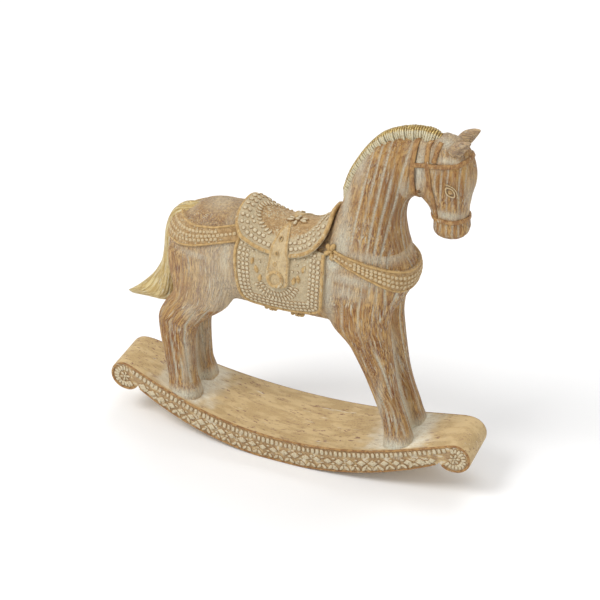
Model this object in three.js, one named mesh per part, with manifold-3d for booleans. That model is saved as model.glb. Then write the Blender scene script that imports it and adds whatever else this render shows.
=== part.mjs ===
// Rocking horse figurine: a saddled horse cast in one piece with its curved rocker board.
// Millimetres, +X towards the head, +Y to the horse's left, +Z up, the board's lowest point at z = 0.
import * as THREE from 'three';
import { mergeVertices } from 'three/addons/utils/BufferGeometryUtils.js';
import { ConvexGeometry } from 'three/addons/geometries/ConvexGeometry.js';
import Module from 'manifold-3d';

// Rocker board
const scrollSpacing = 200;
const scrollRadius = 9.4;
const boardThickness = 16.7;
const undersideRadius = 213.4;
const topRadius = 253.3;
const middleWidth = 47.5;
const endWidth = 29.4;
const restFlatLength = 26;
const scrollDrop = 1.8;
const boardSteps = 18;
const scrollSteps = 10;
const carvingTolerance = 0.2;

// Carving on the board's two edges
const rimHeight = 1.7;
const rimRelief = 0.6;
const lowerRimHeight = 1.3;
const fluteHeight = 3.6;
const fluteRelief = 0.7;
const flutePitch = 5.2;
const diamondLength = 4.6;
const diamondHeight = 3.4;
const diamondRelief = 0.7;
const diamondPitch = 7;
const rosetteRadius = 2.6;
const rosetteRelief = 0.9;

// Horse: hooves to the top of the mane; its pose is kept in shares of that height
const figureHeight = 192.5;
const bodyWidth = 43;
const legSpacing = 21.5;
const hoofFlare = 1.6;
const earSpacing = 12.4;
const earWidth = 6.8;
const earLean = 1.6;
const eyeRadius = 2.3;

// Saddlery
const blanketThickness = 1.5;
const blanketRimWidth = 2.6;
const blanketRimRelief = 0.8;
const skirtThickness = 2.2;
const saddleRimWidth = 2.8;
const saddleRimRelief = 1.0;
const breastStrapRelief = 1.3;
const crupperRelief = 1.1;
const bridleStrapWidth = 2.2;
const bridleRelief = 0.8;
const stirrupStrapRelief = 0.8;
const ringRadius = 3.9;
const ringBar = 1.1;
const flowerRadius = 5.2;
const tasselLength = 10.2;
const tasselHeight = 6.1;

// Hair
const maneWidth = 7.4;
const maneRibs = 17;
const maneRibDepth = 0.7;
const tailWidth = 12.5;
const tailLocks = 6;

const wasm = await Module();
wasm.setup();

// The stations below are counted in figure units, 192.5 to the figure's height.
const figureUnit = figureHeight / 192.5;
const hoofX = 64;
const boardTop = (x) => {
  const fall = Math.max(0, Math.abs(x) / (scrollSpacing / 2) - 0.7) / 0.3;
  return boardThickness + topRadius - Math.sqrt(topRadius ** 2 - x * x) - scrollDrop * fall * fall;
};
const underside = (x) => undersideRadius - Math.sqrt(undersideRadius ** 2 - x * x);
const floor = underside(restFlatLength / 2);
const standingHeight = boardTop(hoofX * figureUnit) - floor;
// A point of the figure's side view, given in figure units above the hooves.
const side = (x, z) => [x * figureUnit, standingHeight + z * figureUnit];

function solidOf(geometry) {
  const bare = geometry.index ? geometry.toNonIndexed() : geometry.clone();
  bare.deleteAttribute('normal');
  bare.deleteAttribute('uv');
  const welded = mergeVertices(bare, 1e-4);
  return new wasm.Manifold(new wasm.Mesh({
    numProp: 3,
    vertProperties: new Float32Array(welded.attributes.position.array),
    triVerts: new Uint32Array(welded.index.array),
  }));
}

// Closed skin through rings of equal length, with a centre point at either end.
function skin(rings) {
  const count = rings[0].length;
  const points = [];
  const middle = (ring) => ring.reduce((sum, p) => sum.add(p), new THREE.Vector3()).divideScalar(count);
  rings.forEach((ring) => ring.forEach((p) => points.push(p)));
  const first = points.push(middle(rings[0])) - 1;
  const last = points.push(middle(rings[rings.length - 1])) - 1;
  const index = [];
  for (let i = 0; i < count; i += 1) {
    const j = (i + 1) % count;
    index.push(first, j, i);
    for (let r = 0; r < rings.length - 1; r += 1) {
      const a = r * count + i;
      const b = r * count + j;
      index.push(a, b, b + count, a, b + count, a + count);
    }
    const end = (rings.length - 1) * count;
    index.push(last, end + i, end + j);
  }
  const geometry = new THREE.BufferGeometry().setFromPoints(points);
  geometry.setIndex(index);
  let volume = 0;
  for (let t = 0; t < index.length; t += 3) {
    const [a, b, c] = [points[index[t]], points[index[t + 1]], points[index[t + 2]]];
    volume += a.dot(new THREE.Vector3().crossVectors(b, c));
  }
  if (volume < 0) geometry.setIndex(index.slice().reverse());
  return geometry;
}

// One cross-section between two points of the side view: half-width w about y, squareness n.
function section([ax, az], [bx, bz], w, y, n, segments, swell = 0, locks = 0, lockDepth = 0) {
  const long = new THREE.Vector2(ax - bx, az - bz);
  const half = long.length() / 2 + swell;
  long.normalize();
  const ring = [];
  for (let i = 0; i < segments; i += 1) {
    const turn = (2 * Math.PI * i) / segments;
    const soft = (v) => Math.sign(v) * Math.abs(v) ** (2 / n);
    const lobe = 1 + lockDepth * Math.cos(locks * turn);
    const along = soft(Math.sin(turn)) * half * lobe;
    const across = soft(Math.cos(turn)) * (w + swell) * lobe;
    ring.push(new THREE.Vector3((ax + bx) / 2 + long.x * along, y + across, (az + bz) / 2 + long.y * along));
  }
  return ring;
}

// Stations are [top x, top z, bottom x, bottom z, half-width], the widths as shares of the body's half-width.
function limb(stations, segments, { y = 0, n = 2.2, swell = 0, widthUnit = bodyWidth / 44 } = {}) {
  const rings = stations.map(([ax, az, bx, bz, w]) => section(
    side(ax, az), side(bx, bz), w * widthUnit, y, n, segments, swell));
  return solidOf(skin(rings));
}

function joined(parts) {
  return parts.reduce((sum, part) => sum.add(part));
}

// A side-view outline carried right through the figure.
function through(points, hole) {
  const shape = new THREE.Shape(points.map(([x, z]) => new THREE.Vector2(x, z)));
  if (hole) shape.holes.push(new THREE.Path(hole.map(([x, z]) => new THREE.Vector2(x, z))));
  const depth = 2 * bodyWidth;
  const geometry = new THREE.ExtrudeGeometry(shape, { depth, bevelEnabled: false, curveSegments: 8 });
  geometry.translate(0, 0, -depth / 2);
  geometry.rotateX(Math.PI / 2);
  return solidOf(geometry);
}

function smoothed(points, count, closed = false) {
  const curve = new THREE.CatmullRomCurve3(
    points.map(([x, z]) => new THREE.Vector3(x, 0, z)), closed, 'centripetal');
  const samples = curve.getSpacedPoints(count);
  if (closed) samples.pop();
  return samples.map((p) => [p.x, p.z]);
}

// The outline moved inwards by a distance, vertex by vertex.
function inset(points, distance) {
  const area = points.reduce((sum, [x, z], i) => {
    const [nx, nz] = points[(i + 1) % points.length];
    return sum + x * nz - nx * z;
  }, 0);
  const turn = Math.sign(area);
  return points.map(([x, z], i) => {
    const [px, pz] = points[(i + points.length - 1) % points.length];
    const [nx, nz] = points[(i + 1) % points.length];
    const length = Math.hypot(nx - px, nz - pz);
    return [x - (turn * distance * (nz - pz)) / length, z + (turn * distance * (nx - px)) / length];
  });
}

// A band of constant width about a centre line.
function band(points, width) {
  const edge = (sign) => points.map(([x, z], i) => {
    const [px, pz] = points[Math.max(i - 1, 0)];
    const [nx, nz] = points[Math.min(i + 1, points.length - 1)];
    const length = Math.hypot(nx - px, nz - pz);
    return [x - (sign * width * (nz - pz)) / (2 * length), z + (sign * width * (nx - px)) / (2 * length)];
  });
  return [...edge(1), ...edge(-1).reverse()];
}

const scrollX = scrollSpacing / 2;
const shoulder = scrollX - scrollRadius * 0.35;
const shoulderTurn = Math.acos(-0.35);
const scrollZ = boardTop(shoulder) - scrollRadius * Math.sin(shoulderTurn);

// Half of the board's outline, from the middle of its top to the middle of its underside.
function halfOutline() {
  const points = [];
  for (let i = 0; i <= boardSteps / 2; i += 1) {
    const x = (shoulder * i) / (boardSteps / 2);
    points.push([x, boardTop(x)]);
  }
  const from = shoulderTurn;
  const to = -Math.PI * 0.86;
  for (let i = 1; i <= scrollSteps; i += 1) {
    const turn = from + ((to - from) * i) / scrollSteps;
    points.push([scrollX + scrollRadius * Math.cos(turn), scrollZ + scrollRadius * Math.sin(turn)]);
  }
  const notch = scrollX - scrollRadius * 0.98;
  for (let i = boardSteps / 2; i >= 1; i -= 1) {
    const x = restFlatLength / 2 + ((notch - restFlatLength / 2) * i) / (boardSteps / 2);
    points.push([x, Math.max(underside(x), 0)]);
  }
  points.push([restFlatLength / 2, underside(restFlatLength / 2)]);
  return points;
}

// The carved edge's guide line: along the top and round the scroll's outer side.
function edgeLine(depth, reach) {
  const points = [];
  const steps = 400;
  for (let i = 0; i <= steps; i += 1) {
    const x = (shoulder * i) / steps;
    const lean = Math.asin(x / topRadius);
    points.push(new THREE.Vector3(x + depth * Math.sin(-lean), 0, boardTop(x) - depth * Math.cos(lean)));
  }
  for (let i = 1; i <= steps; i += 1) {
    const turn = shoulderTurn - (reach * i) / steps;
    points.push(new THREE.Vector3(
      scrollX + (scrollRadius - depth) * Math.cos(turn), 0, scrollZ + (scrollRadius - depth) * Math.sin(turn)));
  }
  return points;
}

function mirroredX(solid) {
  return solid.add(solid.mirror([1, 0, 0]));
}

function boardSolid() {
  const right = halfOutline();
  const left = right.slice(1).reverse().map(([x, z]) => [-x, z]);
  const outline = [...right, ...left].map(([x, z]) => [x, z - floor]);
  const shape = new THREE.Shape(outline.map(([x, z]) => new THREE.Vector2(x, z)));
  const geometry = new THREE.ExtrudeGeometry(shape, { depth: middleWidth, bevelEnabled: false });
  geometry.translate(0, 0, -middleWidth / 2);
  geometry.rotateX(Math.PI / 2);
  let solid = solidOf(geometry);

  const scrollReach = Math.PI * 1.42;
  const outer = edgeLine(0.05, scrollReach);
  const inner = edgeLine(rimHeight, scrollReach);
  const every = 40;
  const strip = (line) => line.filter((p, i) => i % every === 0).map((p) => [p.x, p.z - floor]);
  const rimPoints = [...strip(outer), ...strip(inner).reverse()];
  const rimShape = new THREE.Shape(rimPoints.map(([x, z]) => new THREE.Vector2(x, z)));
  const rimDepth = middleWidth + 2 * rimRelief;
  const rim = new THREE.ExtrudeGeometry(rimShape, { depth: rimDepth, bevelEnabled: false });
  rim.translate(0, 0, -rimDepth / 2);
  rim.rotateX(Math.PI / 2);
  solid = solid.add(mirroredX(solidOf(rim)));
  const lowerEdge = [];
  for (let i = -8; i <= 8; i += 1) {
    const x = (i / 8) * (scrollX - scrollRadius * 1.3);
    lowerEdge.push([x, Math.max(underside(x) - floor, 0) + 0.05]);
  }
  const lowerTop = lowerEdge.map(([x, z]) => [x, z + lowerRimHeight]).reverse();
  const lowerShape = new THREE.Shape([...lowerEdge, ...lowerTop].map(([x, z]) => new THREE.Vector2(x, z)));
  const lowerRim = new THREE.ExtrudeGeometry(lowerShape, { depth: rimDepth, bevelEnabled: false });
  lowerRim.translate(0, 0, -rimDepth / 2);
  lowerRim.rotateX(Math.PI / 2);
  solid = solid.add(solidOf(lowerRim));

  const face = middleWidth / 2;
  const root = face - 1;
  const at = (p, y) => new THREE.Vector3(p.x, y, p.z - floor);
  const pieces = [];
  // Upright flutes under the rim, turning into the scroll's petals.
  const top = new THREE.CatmullRomCurve3(edgeLine(rimHeight + 0.3, scrollReach));
  const topLength = top.getLength();
  const fluteCount = Math.floor(topLength / flutePitch);
  const topLine = edgeLine(rimHeight + 0.3, scrollReach);
  const lowLine = edgeLine(rimHeight + 0.3 + fluteHeight, scrollReach);
  const reachAt = [0];
  for (let i = 1; i < topLine.length; i += 1) reachAt.push(reachAt[i - 1] + topLine[i].distanceTo(topLine[i - 1]));
  const indexAt = (length) => Math.min(reachAt.findIndex((v) => v >= length), topLine.length - 1);
  for (let i = 0; i < fluteCount; i += 1) {
    const a = indexAt(i * flutePitch);
    const m = indexAt((i + 0.5) * flutePitch);
    const b = indexAt((i + 1) * flutePitch);
    pieces.push(new ConvexGeometry([
      at(topLine[a], root), at(topLine[b], root), at(lowLine[a], root), at(lowLine[b], root),
      at(topLine[a], face), at(topLine[b], face), at(lowLine[a], face), at(lowLine[b], face),
      at(topLine[m], face + fluteRelief), at(lowLine[m], face + fluteRelief),
    ]));
  }
  // A row of diamonds below the flutes.
  const rowDepth = rimHeight + 0.3 + fluteHeight + 0.5 + diamondHeight / 2;
  const stud = (x, z, halfLong, halfUp) => {
    const lean = Math.atan2(x, Math.sqrt(topRadius ** 2 - x * x));
    const place = (u, v, y) => new THREE.Vector3(
      x + u * Math.cos(lean) - v * Math.sin(lean), y, z + u * Math.sin(lean) + v * Math.cos(lean) - floor);
    const corners = [[-halfLong, 0], [halfLong, 0], [0, halfUp], [0, -halfUp]];
    const points = corners.flatMap(([u, v]) => [place(u, v, root), place(u, v, face)]);
    points.push(place(0, 0, face + diamondRelief));
    return new ConvexGeometry(points);
  };
  const rowEnd = scrollX - scrollRadius * 1.25;
  for (let x = diamondPitch / 2; x < rowEnd; x += diamondPitch) {
    pieces.push(stud(x, boardTop(x) - rowDepth, diamondLength / 2, diamondHeight / 2));
  }
  const boss = new THREE.SphereGeometry(rosetteRadius, 6, 4);
  boss.scale(1, (rosetteRelief + 1) / rosetteRadius, 1);
  boss.translate(scrollX, face - 1, scrollZ - floor);
  pieces.push(boss);
  let carving = wasm.Manifold.union(pieces.map(solidOf));
  carving = carving.add(carving.mirror([0, 1, 0]));
  solid = solid.add(mirroredX(carving));

  // The board narrows from its middle to its scrolled ends.
  return solid.warp((v) => {
    const share = Math.min(Math.abs(v[0]) / scrollX, 1);
    v[1] *= (endWidth + (middleWidth - endWidth) * (1 - share * share)) / middleWidth;
  });
}

const trunk = [
  [-73, 106, -73, 84, 8], [-70, 110, -71, 72, 14], [-63, 115, -65, 68, 19], [-54, 120.5, -55, 66, 22],
  [-42, 122.5, -42, 66, 22.5], [-24, 121, -24, 66, 22], [-6, 118, -6, 66.3, 22], [12, 120, 12, 66.3, 22],
  [26, 125, 28, 66.8, 22.5], [38, 128, 42, 69, 22.5], [50, 125, 53, 75, 21], [59, 119, 60, 84, 17.5],
  [65, 114, 65, 94, 12], [68, 108.5, 67.5, 100, 6],
];
const neck = [
  [17, 122, 58, 82, 21], [22, 131, 64, 94, 20.5], [26, 141, 66.5, 107, 18.5], [29, 152, 62.5, 121, 15.5],
  [33, 163, 60, 135, 13.2], [39, 172, 61.5, 146, 12], [47, 180, 65, 151, 11.2], [57, 185, 70.5, 154.5, 10.5],
  [67, 187, 77, 160, 9.5], [78, 186.5, 84, 166, 8],
];
const head = [
  [80, 190, 68, 183, 4.5], [88, 187.5, 63, 174, 8.5], [93.5, 181, 63, 166, 10.2], [96.5, 173, 65, 158, 10.8],
  [97, 165, 68, 153, 10.4], [95.5, 158, 72, 149, 9.2], [94.5, 151, 74, 145, 8.2], [94.5, 144.5, 75.5, 141, 7.6],
  [95.6, 139, 75.5, 136, 7.9], [94.3, 134.7, 76.5, 133.2, 7.2], [90, 131.5, 80, 131, 4.6],
];
const foreleg = [
  [28, 100, 60, 100, 11], [24, 84, 59, 84, 10.5], [24.5, 71, 58, 72, 10], [35, 60, 59.2, 61, 9],
  [42, 48, 61.2, 48.5, 8], [47.5, 36, 63.5, 36.5, 7], [52.5, 24, 66.8, 24.5, 6.8], [56.5, 12, 71.2, 12.5, 7.2],
  [58.5, 3, 73.5, 3.5, 7.8], [59, -7, 75, -6.5, 8.2],
];
const hindleg = [
  [-72, 96, -32, 96, 11], [-71, 80, -31.5, 77, 11], [-69, 68, -36, 63.5, 10.5], [-74.5, 58, -46, 54.5, 9.4],
  [-78.5, 49, -54, 46.5, 8.6], [-78, 38, -57, 37, 7.6], [-76, 24, -57, 24, 6.9], [-74, 11, -56.5, 11, 7],
  [-72.5, 2, -55, 2, 7.8], [-72.5, -7, -54, -7, 8.2],
];
// The thin wall that joins each pair of legs, set back from both outlines.
function web(leg, back, front) {
  return leg.map(([ax, az, bx, bz]) => [ax + back, az, bx - front, bz, 9]);
}

function bodySolid(swell) {
  const legY = legSpacing / 2;
  const inward = (leg, y) => limb(leg, 8, { y, n: 2.5, swell });
  const parts = [
    limb(trunk, 14, { swell, n: 2.15 }),
    limb(neck, 12, { swell, n: 2.1 }),
    limb(head, 10, { swell, n: 2.3 }),
  ];
  for (const leg of [foreleg, hindleg]) parts.push(inward(leg, legY), inward(leg, -legY));
  return joined(parts);
}

// Legs meet the board in a small cast flare.
function hoofFlares() {
  const skirts = [];
  for (const leg of [foreleg, hindleg]) {
    for (const y of [legSpacing / 2, -legSpacing / 2]) {
      const foot = leg.slice(-3).map(([ax, az, bx, bz, w], i) => {
        const grow = i === 0 ? -0.6 : (hoofFlare * i) / 2;
        return [ax - grow, az, bx + grow, bz, w + grow];
      });
      skirts.push(limb(foot, 8, { y, n: 2.6 }));
    }
  }
  return joined(skirts);
}

function earSolid(sign) {
  const half = earWidth / 2;
  const root = [[81, 184], [88.5, 179.5]];
  const mid = [[87.5, 190], [92, 185]];
  const tip = [[94.6, 191.6], [95, 190.8]];
  const y = sign * earSpacing / 2;
  const rings = [
    section(side(...root[0]), side(...root[1]), half, y, 2, 6),
    section(side(...mid[0]), side(...mid[1]), half * 0.8, y + sign * earLean * 0.75, 2, 6),
    section(side(...tip[0]), side(...tip[1]), half * 0.15, y + sign * earLean, 2, 6),
  ];
  return solidOf(skin(rings));
}

function eyeSolid(sign) {
  const eye = new THREE.SphereGeometry(eyeRadius, 6, 4);
  eye.scale(1.15, 0.6, 0.85);
  const [x, z] = side(88, 165);
  eye.translate(x, sign * 9.6 * (bodyWidth / 44), z);
  return solidOf(eye);
}

// The clipped mane stands on the crest in tight cross ribs.
function maneSolid() {
  const crest = smoothed([
    [23, 138], [25, 147], [28, 157.5], [33, 167.5], [38.5, 176], [46, 184], [56, 189.2], [67, 191.5], [76, 190.5], [85, 187],
  ].map(([x, z]) => side(x, z)), maneRibs * 2);
  const rings = crest.map(([x, z], i) => {
    const [px, pz] = crest[Math.max(i - 1, 0)];
    const [nx, nz] = crest[Math.min(i + 1, crest.length - 1)];
    const length = Math.hypot(nx - px, nz - pz);
    const [inX, inZ] = [(nz - pz) / length, -(nx - px) / length];
    const rise = i % 2 ? 0 : maneRibDepth;
    const fade = Math.min(1, (i + 1) / 4, (crest.length - i) / 5);
    const outer = [x + inX * (rise + 2 * (1 - fade)), z + inZ * (rise + 2 * (1 - fade))];
    const half = (maneWidth / 2) * (0.45 + 0.55 * fade) - rise * 0.6;
    return section(outer, [x + inX * 9, z + inZ * 9], half, 0, 2.6, 6);
  });
  return solidOf(skin(rings));
}

// The tail springs from the croup, lies on the buttocks and sweeps back to its tip in long locks.
function tailSolid() {
  const stations = [
    [-54, 118, -52, 107, 0.5], [-63, 118, -57, 105, 0.8], [-71, 114, -62, 101, 0.95], [-76, 107, -65, 96, 1],
    [-79, 97, -67, 91, 1], [-80, 86, -68, 83, 0.98], [-81.5, 77, -69, 74, 0.95], [-85, 70, -70.5, 64, 0.92],
    [-90, 63, -73, 55, 0.85], [-95.5, 57, -79, 50.5, 0.7], [-100, 53, -88, 50, 0.45], [-103.5, 50.5, -99, 49, 0.15],
  ];
  const rings = stations.map(([ax, az, bx, bz, w]) => section(
    side(ax, az), side(bx, bz), (w * tailWidth) / 2, 0, 2, tailLocks * 2, 0, tailLocks, 0.09));
  return solidOf(skin(rings));
}

const saddleOutline = smoothed([
  [-30.5, 130], [-31.5, 122.5], [-28.5, 117], [-23.5, 113], [-16, 110], [-8, 108.6], [1, 108.6], [9, 110.6],
  [15.5, 114.5], [20, 120], [23, 127], [24, 135], [20, 142], [10, 147], [-15, 147], [-27, 138],
].map(([x, z]) => side(x, z)), 20, true);
const seat = [
  [-32, 124, -32, 84, 17], [-29, 127.6, -29, 82, 21], [-24.5, 125.6, -24.5, 80, 22.5], [-17, 121.6, -17, 80, 23],
  [-6, 119.4, -6, 80, 23], [6, 120, 6, 80, 23], [12, 122.6, 12, 80, 23], [18, 129.2, 18, 82, 21],
  [22, 135, 22, 84, 16], [24.5, 132, 24.5, 88, 12],
];
const blanketOutline = [
  [-26.5, 118], [-28.6, 107], [-28, 98], [-26.8, 88], [-25, 79], [-21, 75.5], [-10, 74.5], [2, 74.5], [12, 76],
  [19.5, 78.5], [22.6, 82.5], [23.6, 92], [23.8, 103], [22.5, 116],
].map(([x, z]) => side(x, z));

function saddlerySolid(raised) {
  const parts = [];
  // Blanket over the barrel with a raised border.
  parts.push(raised(blanketThickness).intersect(through(blanketOutline)));
  const blanketBorder = through(blanketOutline, inset(blanketOutline, blanketRimWidth));
  parts.push(raised(blanketThickness + blanketRimRelief).intersect(blanketBorder));
  // Saddle: a dished seat with a rolled border round the skirt, cantle and pommel.
  const dish = (lift) => limb(seat, 14, { n: 2.4, swell: lift })
    .add(raised(skirtThickness + lift));
  parts.push(dish(0).intersect(through(saddleOutline)));
  const roll = through(saddleOutline, inset(saddleOutline, saddleRimWidth));
  parts.push(dish(saddleRimRelief).intersect(roll));
  // Girth strap: a long drop with a ring at its foot.
  const drop = smoothed([
    [-3.2, 122], [-6, 118.5], [-7.8, 112.5], [-8.5, 104], [-9.2, 97], [-7, 92], [-2.5, 90.4], [3.4, 92], [4, 100],
    [3.4, 108], [0.8, 115.5],
  ].map(([x, z]) => side(x, z)), 12, true);
  parts.push(dish(stirrupStrapRelief).intersect(through(drop)));
  const [ringX, ringZ] = side(-2.6, 97);
  for (const sign of [1, -1]) {
    const ring = new THREE.TorusGeometry(ringRadius, ringBar, 4, 8);
    ring.rotateX(Math.PI / 2);
    ring.translate(ringX, sign * (bodyWidth / 2 + skirtThickness + stirrupStrapRelief), ringZ);
    parts.push(solidOf(ring));
  }
  // Flower where the straps meet on the seat.
  const flower = new THREE.SphereGeometry(flowerRadius, 8, 4);
  flower.scale(1, 1, 0.42);
  const [flowerX, flowerZ] = side(0, 120.4);
  flower.translate(flowerX, 0, flowerZ);
  parts.push(solidOf(flower));
  // Tassels under the blanket's edge.
  for (const sign of [1, -1]) {
    for (const x of [-9, 6]) {
      const tassel = new THREE.SphereGeometry(tasselLength / 2, 5, 3);
      tassel.scale(1, 0.66, tasselHeight / tasselLength);
      const [px, pz] = side(x, 73);
      tassel.translate(px, sign * 14.5 * (bodyWidth / 44), pz);
      parts.push(solidOf(tassel));
    }
  }
  return joined(parts);
}

function strapSolid(raised) {
  const parts = [];
  const breast = [
    [26, 119], [34, 117], [44, 115.2], [55, 113], [64, 110.8], [74, 109],
    [74, 100], [68, 98.6], [64, 97.4], [58, 101], [50, 104.8], [40, 108.6], [28, 112.8],
  ].map(([x, z]) => side(x, z));
  parts.push(raised(breastStrapRelief).intersect(through(breast)));
  const crupper = [
    [-26, 119], [-36, 116.3], [-46, 114.6], [-56, 113.4], [-66, 113.4], [-78, 114],
    [-78, 100.5], [-66, 100], [-54, 102.4], [-42, 106.2], [-28, 110],
  ].map(([x, z]) => side(x, z));
  parts.push(raised(crupperRelief).intersect(through(crupper)));
  const bridle = raised(bridleRelief);
  const lines = [
    [[67, 196], [66, 186], [65.4, 175], [65.6, 165.5], [67, 156.4], [69.5, 148]],
    [[75.5, 196], [72.6, 184], [73, 175.3], [74.9, 165], [77, 155.9], [78.7, 143.4]],
    [[63, 173], [75, 174.6], [83, 175.6], [89, 177], [100, 183]],
    [[73, 143.6], [82, 142.8], [88.4, 143], [99, 145.2]],
  ].map((line) => line.map(([x, z]) => side(x, z)));
  for (const line of lines) {
    parts.push(bridle.intersect(through(band(smoothed(line, 4), bridleStrapWidth))));
  }
  return joined(parts);
}

// The whole casting
const cache = new Map();
const raised = (swell) => {
  if (!cache.has(swell)) cache.set(swell, bodySolid(swell));
  return cache.get(swell);
};
let casting = raised(0);
casting = casting.add(limb(web(foreleg, 4.5, 4.5), 8, { n: 3 })).add(limb(web(hindleg, 4.5, 5), 8, { n: 3 }));
casting = casting.add(hoofFlares());
for (const sign of [1, -1]) casting = casting.add(earSolid(sign)).add(eyeSolid(sign));
casting = casting.add(maneSolid()).add(tailSolid());
casting = casting.add(saddlerySolid(raised)).add(strapSolid(raised));
// Nothing of the legs shows under the board.
const under = through([[-scrollSpacing, -boardThickness], [scrollSpacing, -boardThickness],
  [scrollSpacing, boardThickness * 0.4], [-scrollSpacing, boardThickness * 0.4]]);
casting = casting.subtract(under).add(boardSolid());

const mesh = casting.simplify(carvingTolerance).getMesh();
const geometry = new THREE.BufferGeometry();
geometry.setAttribute('position', new THREE.BufferAttribute(new Float32Array(mesh.vertProperties), 3));
geometry.setIndex(new THREE.BufferAttribute(new Uint32Array(mesh.triVerts), 1));
geometry.computeVertexNormals();
const material = new THREE.MeshStandardMaterial({ color: 0xc9a878, roughness: 0.7, metalness: 0 });
const horse = new THREE.Mesh(geometry, material);
horse.name = 'rocking_horse';

const group = new THREE.Group();
group.add(horse);
export default group;
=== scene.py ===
"""Looks of a saddled rocking horse figurine, cast in one piece with its curved rocker board.

The casting imitates carved wood under a worn whitewash, with a gilt mane and tail. Lengths in the
classes are in millimetres and become metres when a mesh is made. The frame is the part's own: +X
towards the head, +Y to the horse's left, +Z up, the board's lowest point at z = 0.
"""

import logging
import math
from dataclasses import dataclass
from enum import Enum

import bpy
import numpy as np
from mathutils import Matrix, Vector
from mathutils.bvhtree import BVHTree
from mathutils.geometry import delaunay_2d_cdt

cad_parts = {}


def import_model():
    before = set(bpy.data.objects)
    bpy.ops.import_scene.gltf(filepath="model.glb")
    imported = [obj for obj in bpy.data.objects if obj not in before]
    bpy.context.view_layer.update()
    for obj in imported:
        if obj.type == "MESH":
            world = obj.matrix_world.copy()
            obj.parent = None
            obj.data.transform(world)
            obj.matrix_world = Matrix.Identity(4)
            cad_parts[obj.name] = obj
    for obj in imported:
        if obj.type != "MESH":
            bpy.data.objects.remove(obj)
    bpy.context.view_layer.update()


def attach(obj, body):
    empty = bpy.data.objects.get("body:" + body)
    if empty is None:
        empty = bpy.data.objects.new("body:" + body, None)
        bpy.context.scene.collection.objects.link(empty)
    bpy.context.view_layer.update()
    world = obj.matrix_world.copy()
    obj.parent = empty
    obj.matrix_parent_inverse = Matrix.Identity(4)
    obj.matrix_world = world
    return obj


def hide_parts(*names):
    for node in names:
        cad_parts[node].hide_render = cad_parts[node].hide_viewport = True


LOG = logging.getLogger("rocking_horse")
MM = 0.001
BODY = "root"
NODE = "rocking_horse"
Array = np.ndarray
Socket = bpy.types.NodeSocket
Triple = tuple[float, float, float]
# How far outside the figure rays start
FAR = 100.0


def linear(code: str) -> tuple[float, float, float, float]:
    """Turns a colour written as six hexadecimal digits into linear light.

    Args:
        code: the digits.

    Returns:
        Red, green, blue and one.
    """
    parts = [int(code[i:i + 2], 16) / 255 for i in (0, 2, 4)]
    light = [p / 12.92 if p <= 0.04045 else ((p + 0.055) / 1.055) ** 2.4 for p in parts]
    return (*light, 1.0)


@dataclass
class Shell:
    """A mesh in the making.

    Args:
        points: places of the vertices, one row each.
        faces: vertex numbers of each face.
        crest: how far each vertex stands proud of its ground, 0 to 1.
    """

    points: Array
    faces: list[tuple[int, ...]]
    crest: Array | None = None

    def crests(self) -> Array:
        """The crest of every vertex, zero where none was given."""
        return np.zeros(len(self.points)) if self.crest is None else self.crest


def joined(shells: list[Shell]) -> Shell:
    """Puts shells into one.

    Args:
        shells: the shells to join.

    Returns:
        One shell with all their points and faces.
    """
    points, faces, crest, start = [], [], [], 0
    for shell in shells:
        points.append(shell.points)
        crest.append(shell.crests())
        faces += [tuple(int(i) + start for i in face) for face in shell.faces]
        start += len(shell.points)
    return Shell(np.vstack(points), faces, np.concatenate(crest))


def outwards(shell: Shell) -> Shell:
    """Turns a closed shell's faces outwards.

    Args:
        shell: the closed shell.

    Returns:
        The same shell, with its faces turned round where its volume came out negative.
    """
    volume = 0.0
    for face in shell.faces:
        a = shell.points[face[0]]
        for i in range(1, len(face) - 1):
            volume += float(np.dot(a, np.cross(shell.points[face[i]], shell.points[face[i + 1]])))
    if volume < 0:
        shell.faces = [tuple(reversed(face)) for face in shell.faces]
    return shell


def tube(rings: Array, closed: bool = False, crest: Array | None = None) -> Shell:
    """Makes a closed skin through rings.

    Args:
        rings: ring by ring, each ring's points in order.
        closed: whether the last ring joins the first one.
        crest: the crest of each ring point.

    Returns:
        The skin, with a centre point at either end unless it is closed.
    """
    count, size, _ = rings.shape
    points = [rings.reshape(-1, 3)]
    crests = [np.zeros(count * size) if crest is None else crest.reshape(-1)]
    faces = []
    last = count if closed else count - 1
    for r in range(last):
        a = r * size
        b = ((r + 1) % count) * size
        for i in range(size):
            j = (i + 1) % size
            faces.append((a + i, a + j, b + j, b + i))
    if not closed:
        first, end = count * size, count * size + 1
        points.append(np.array([rings[0].mean(0), rings[-1].mean(0)]))
        crests.append(np.zeros(2))
        top = (count - 1) * size
        for i in range(size):
            j = (i + 1) % size
            faces.append((first, j, i))
            faces.append((end, top + i, top + j))
    return outwards(Shell(np.vstack(points), faces, np.concatenate(crests)))


def spline(rows: Array, count: int, closed: bool = False) -> Array:
    """Passes a smooth curve through rows of numbers.

    Args:
        rows: the numbers to pass through, one row for each station.
        count: how many rows to return.
        closed: whether the curve returns to its first row.

    Returns:
        The curve's rows, evenly spaced from station to station.
    """
    rows = np.asarray(rows, float)
    if closed:
        padded = np.vstack([rows[-1:], rows, rows[:2]])
        spans = len(rows)
    else:
        padded = np.vstack([2 * rows[0] - rows[1], rows, 2 * rows[-1] - rows[-2]])
        spans = len(rows) - 1
    places = np.linspace(0, spans, count, endpoint=not closed)
    index = np.minimum(places.astype(int), spans - 1)
    t = (places - index)[:, None]
    p0, p1, p2, p3 = (padded[index + k] for k in range(4))
    return 0.5 * (2 * p1 + (p2 - p0) * t + (2 * p0 - 5 * p1 + 4 * p2 - p3) * t * t
                  + (3 * p1 - p0 - 3 * p2 + p3) * t ** 3)


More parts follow.
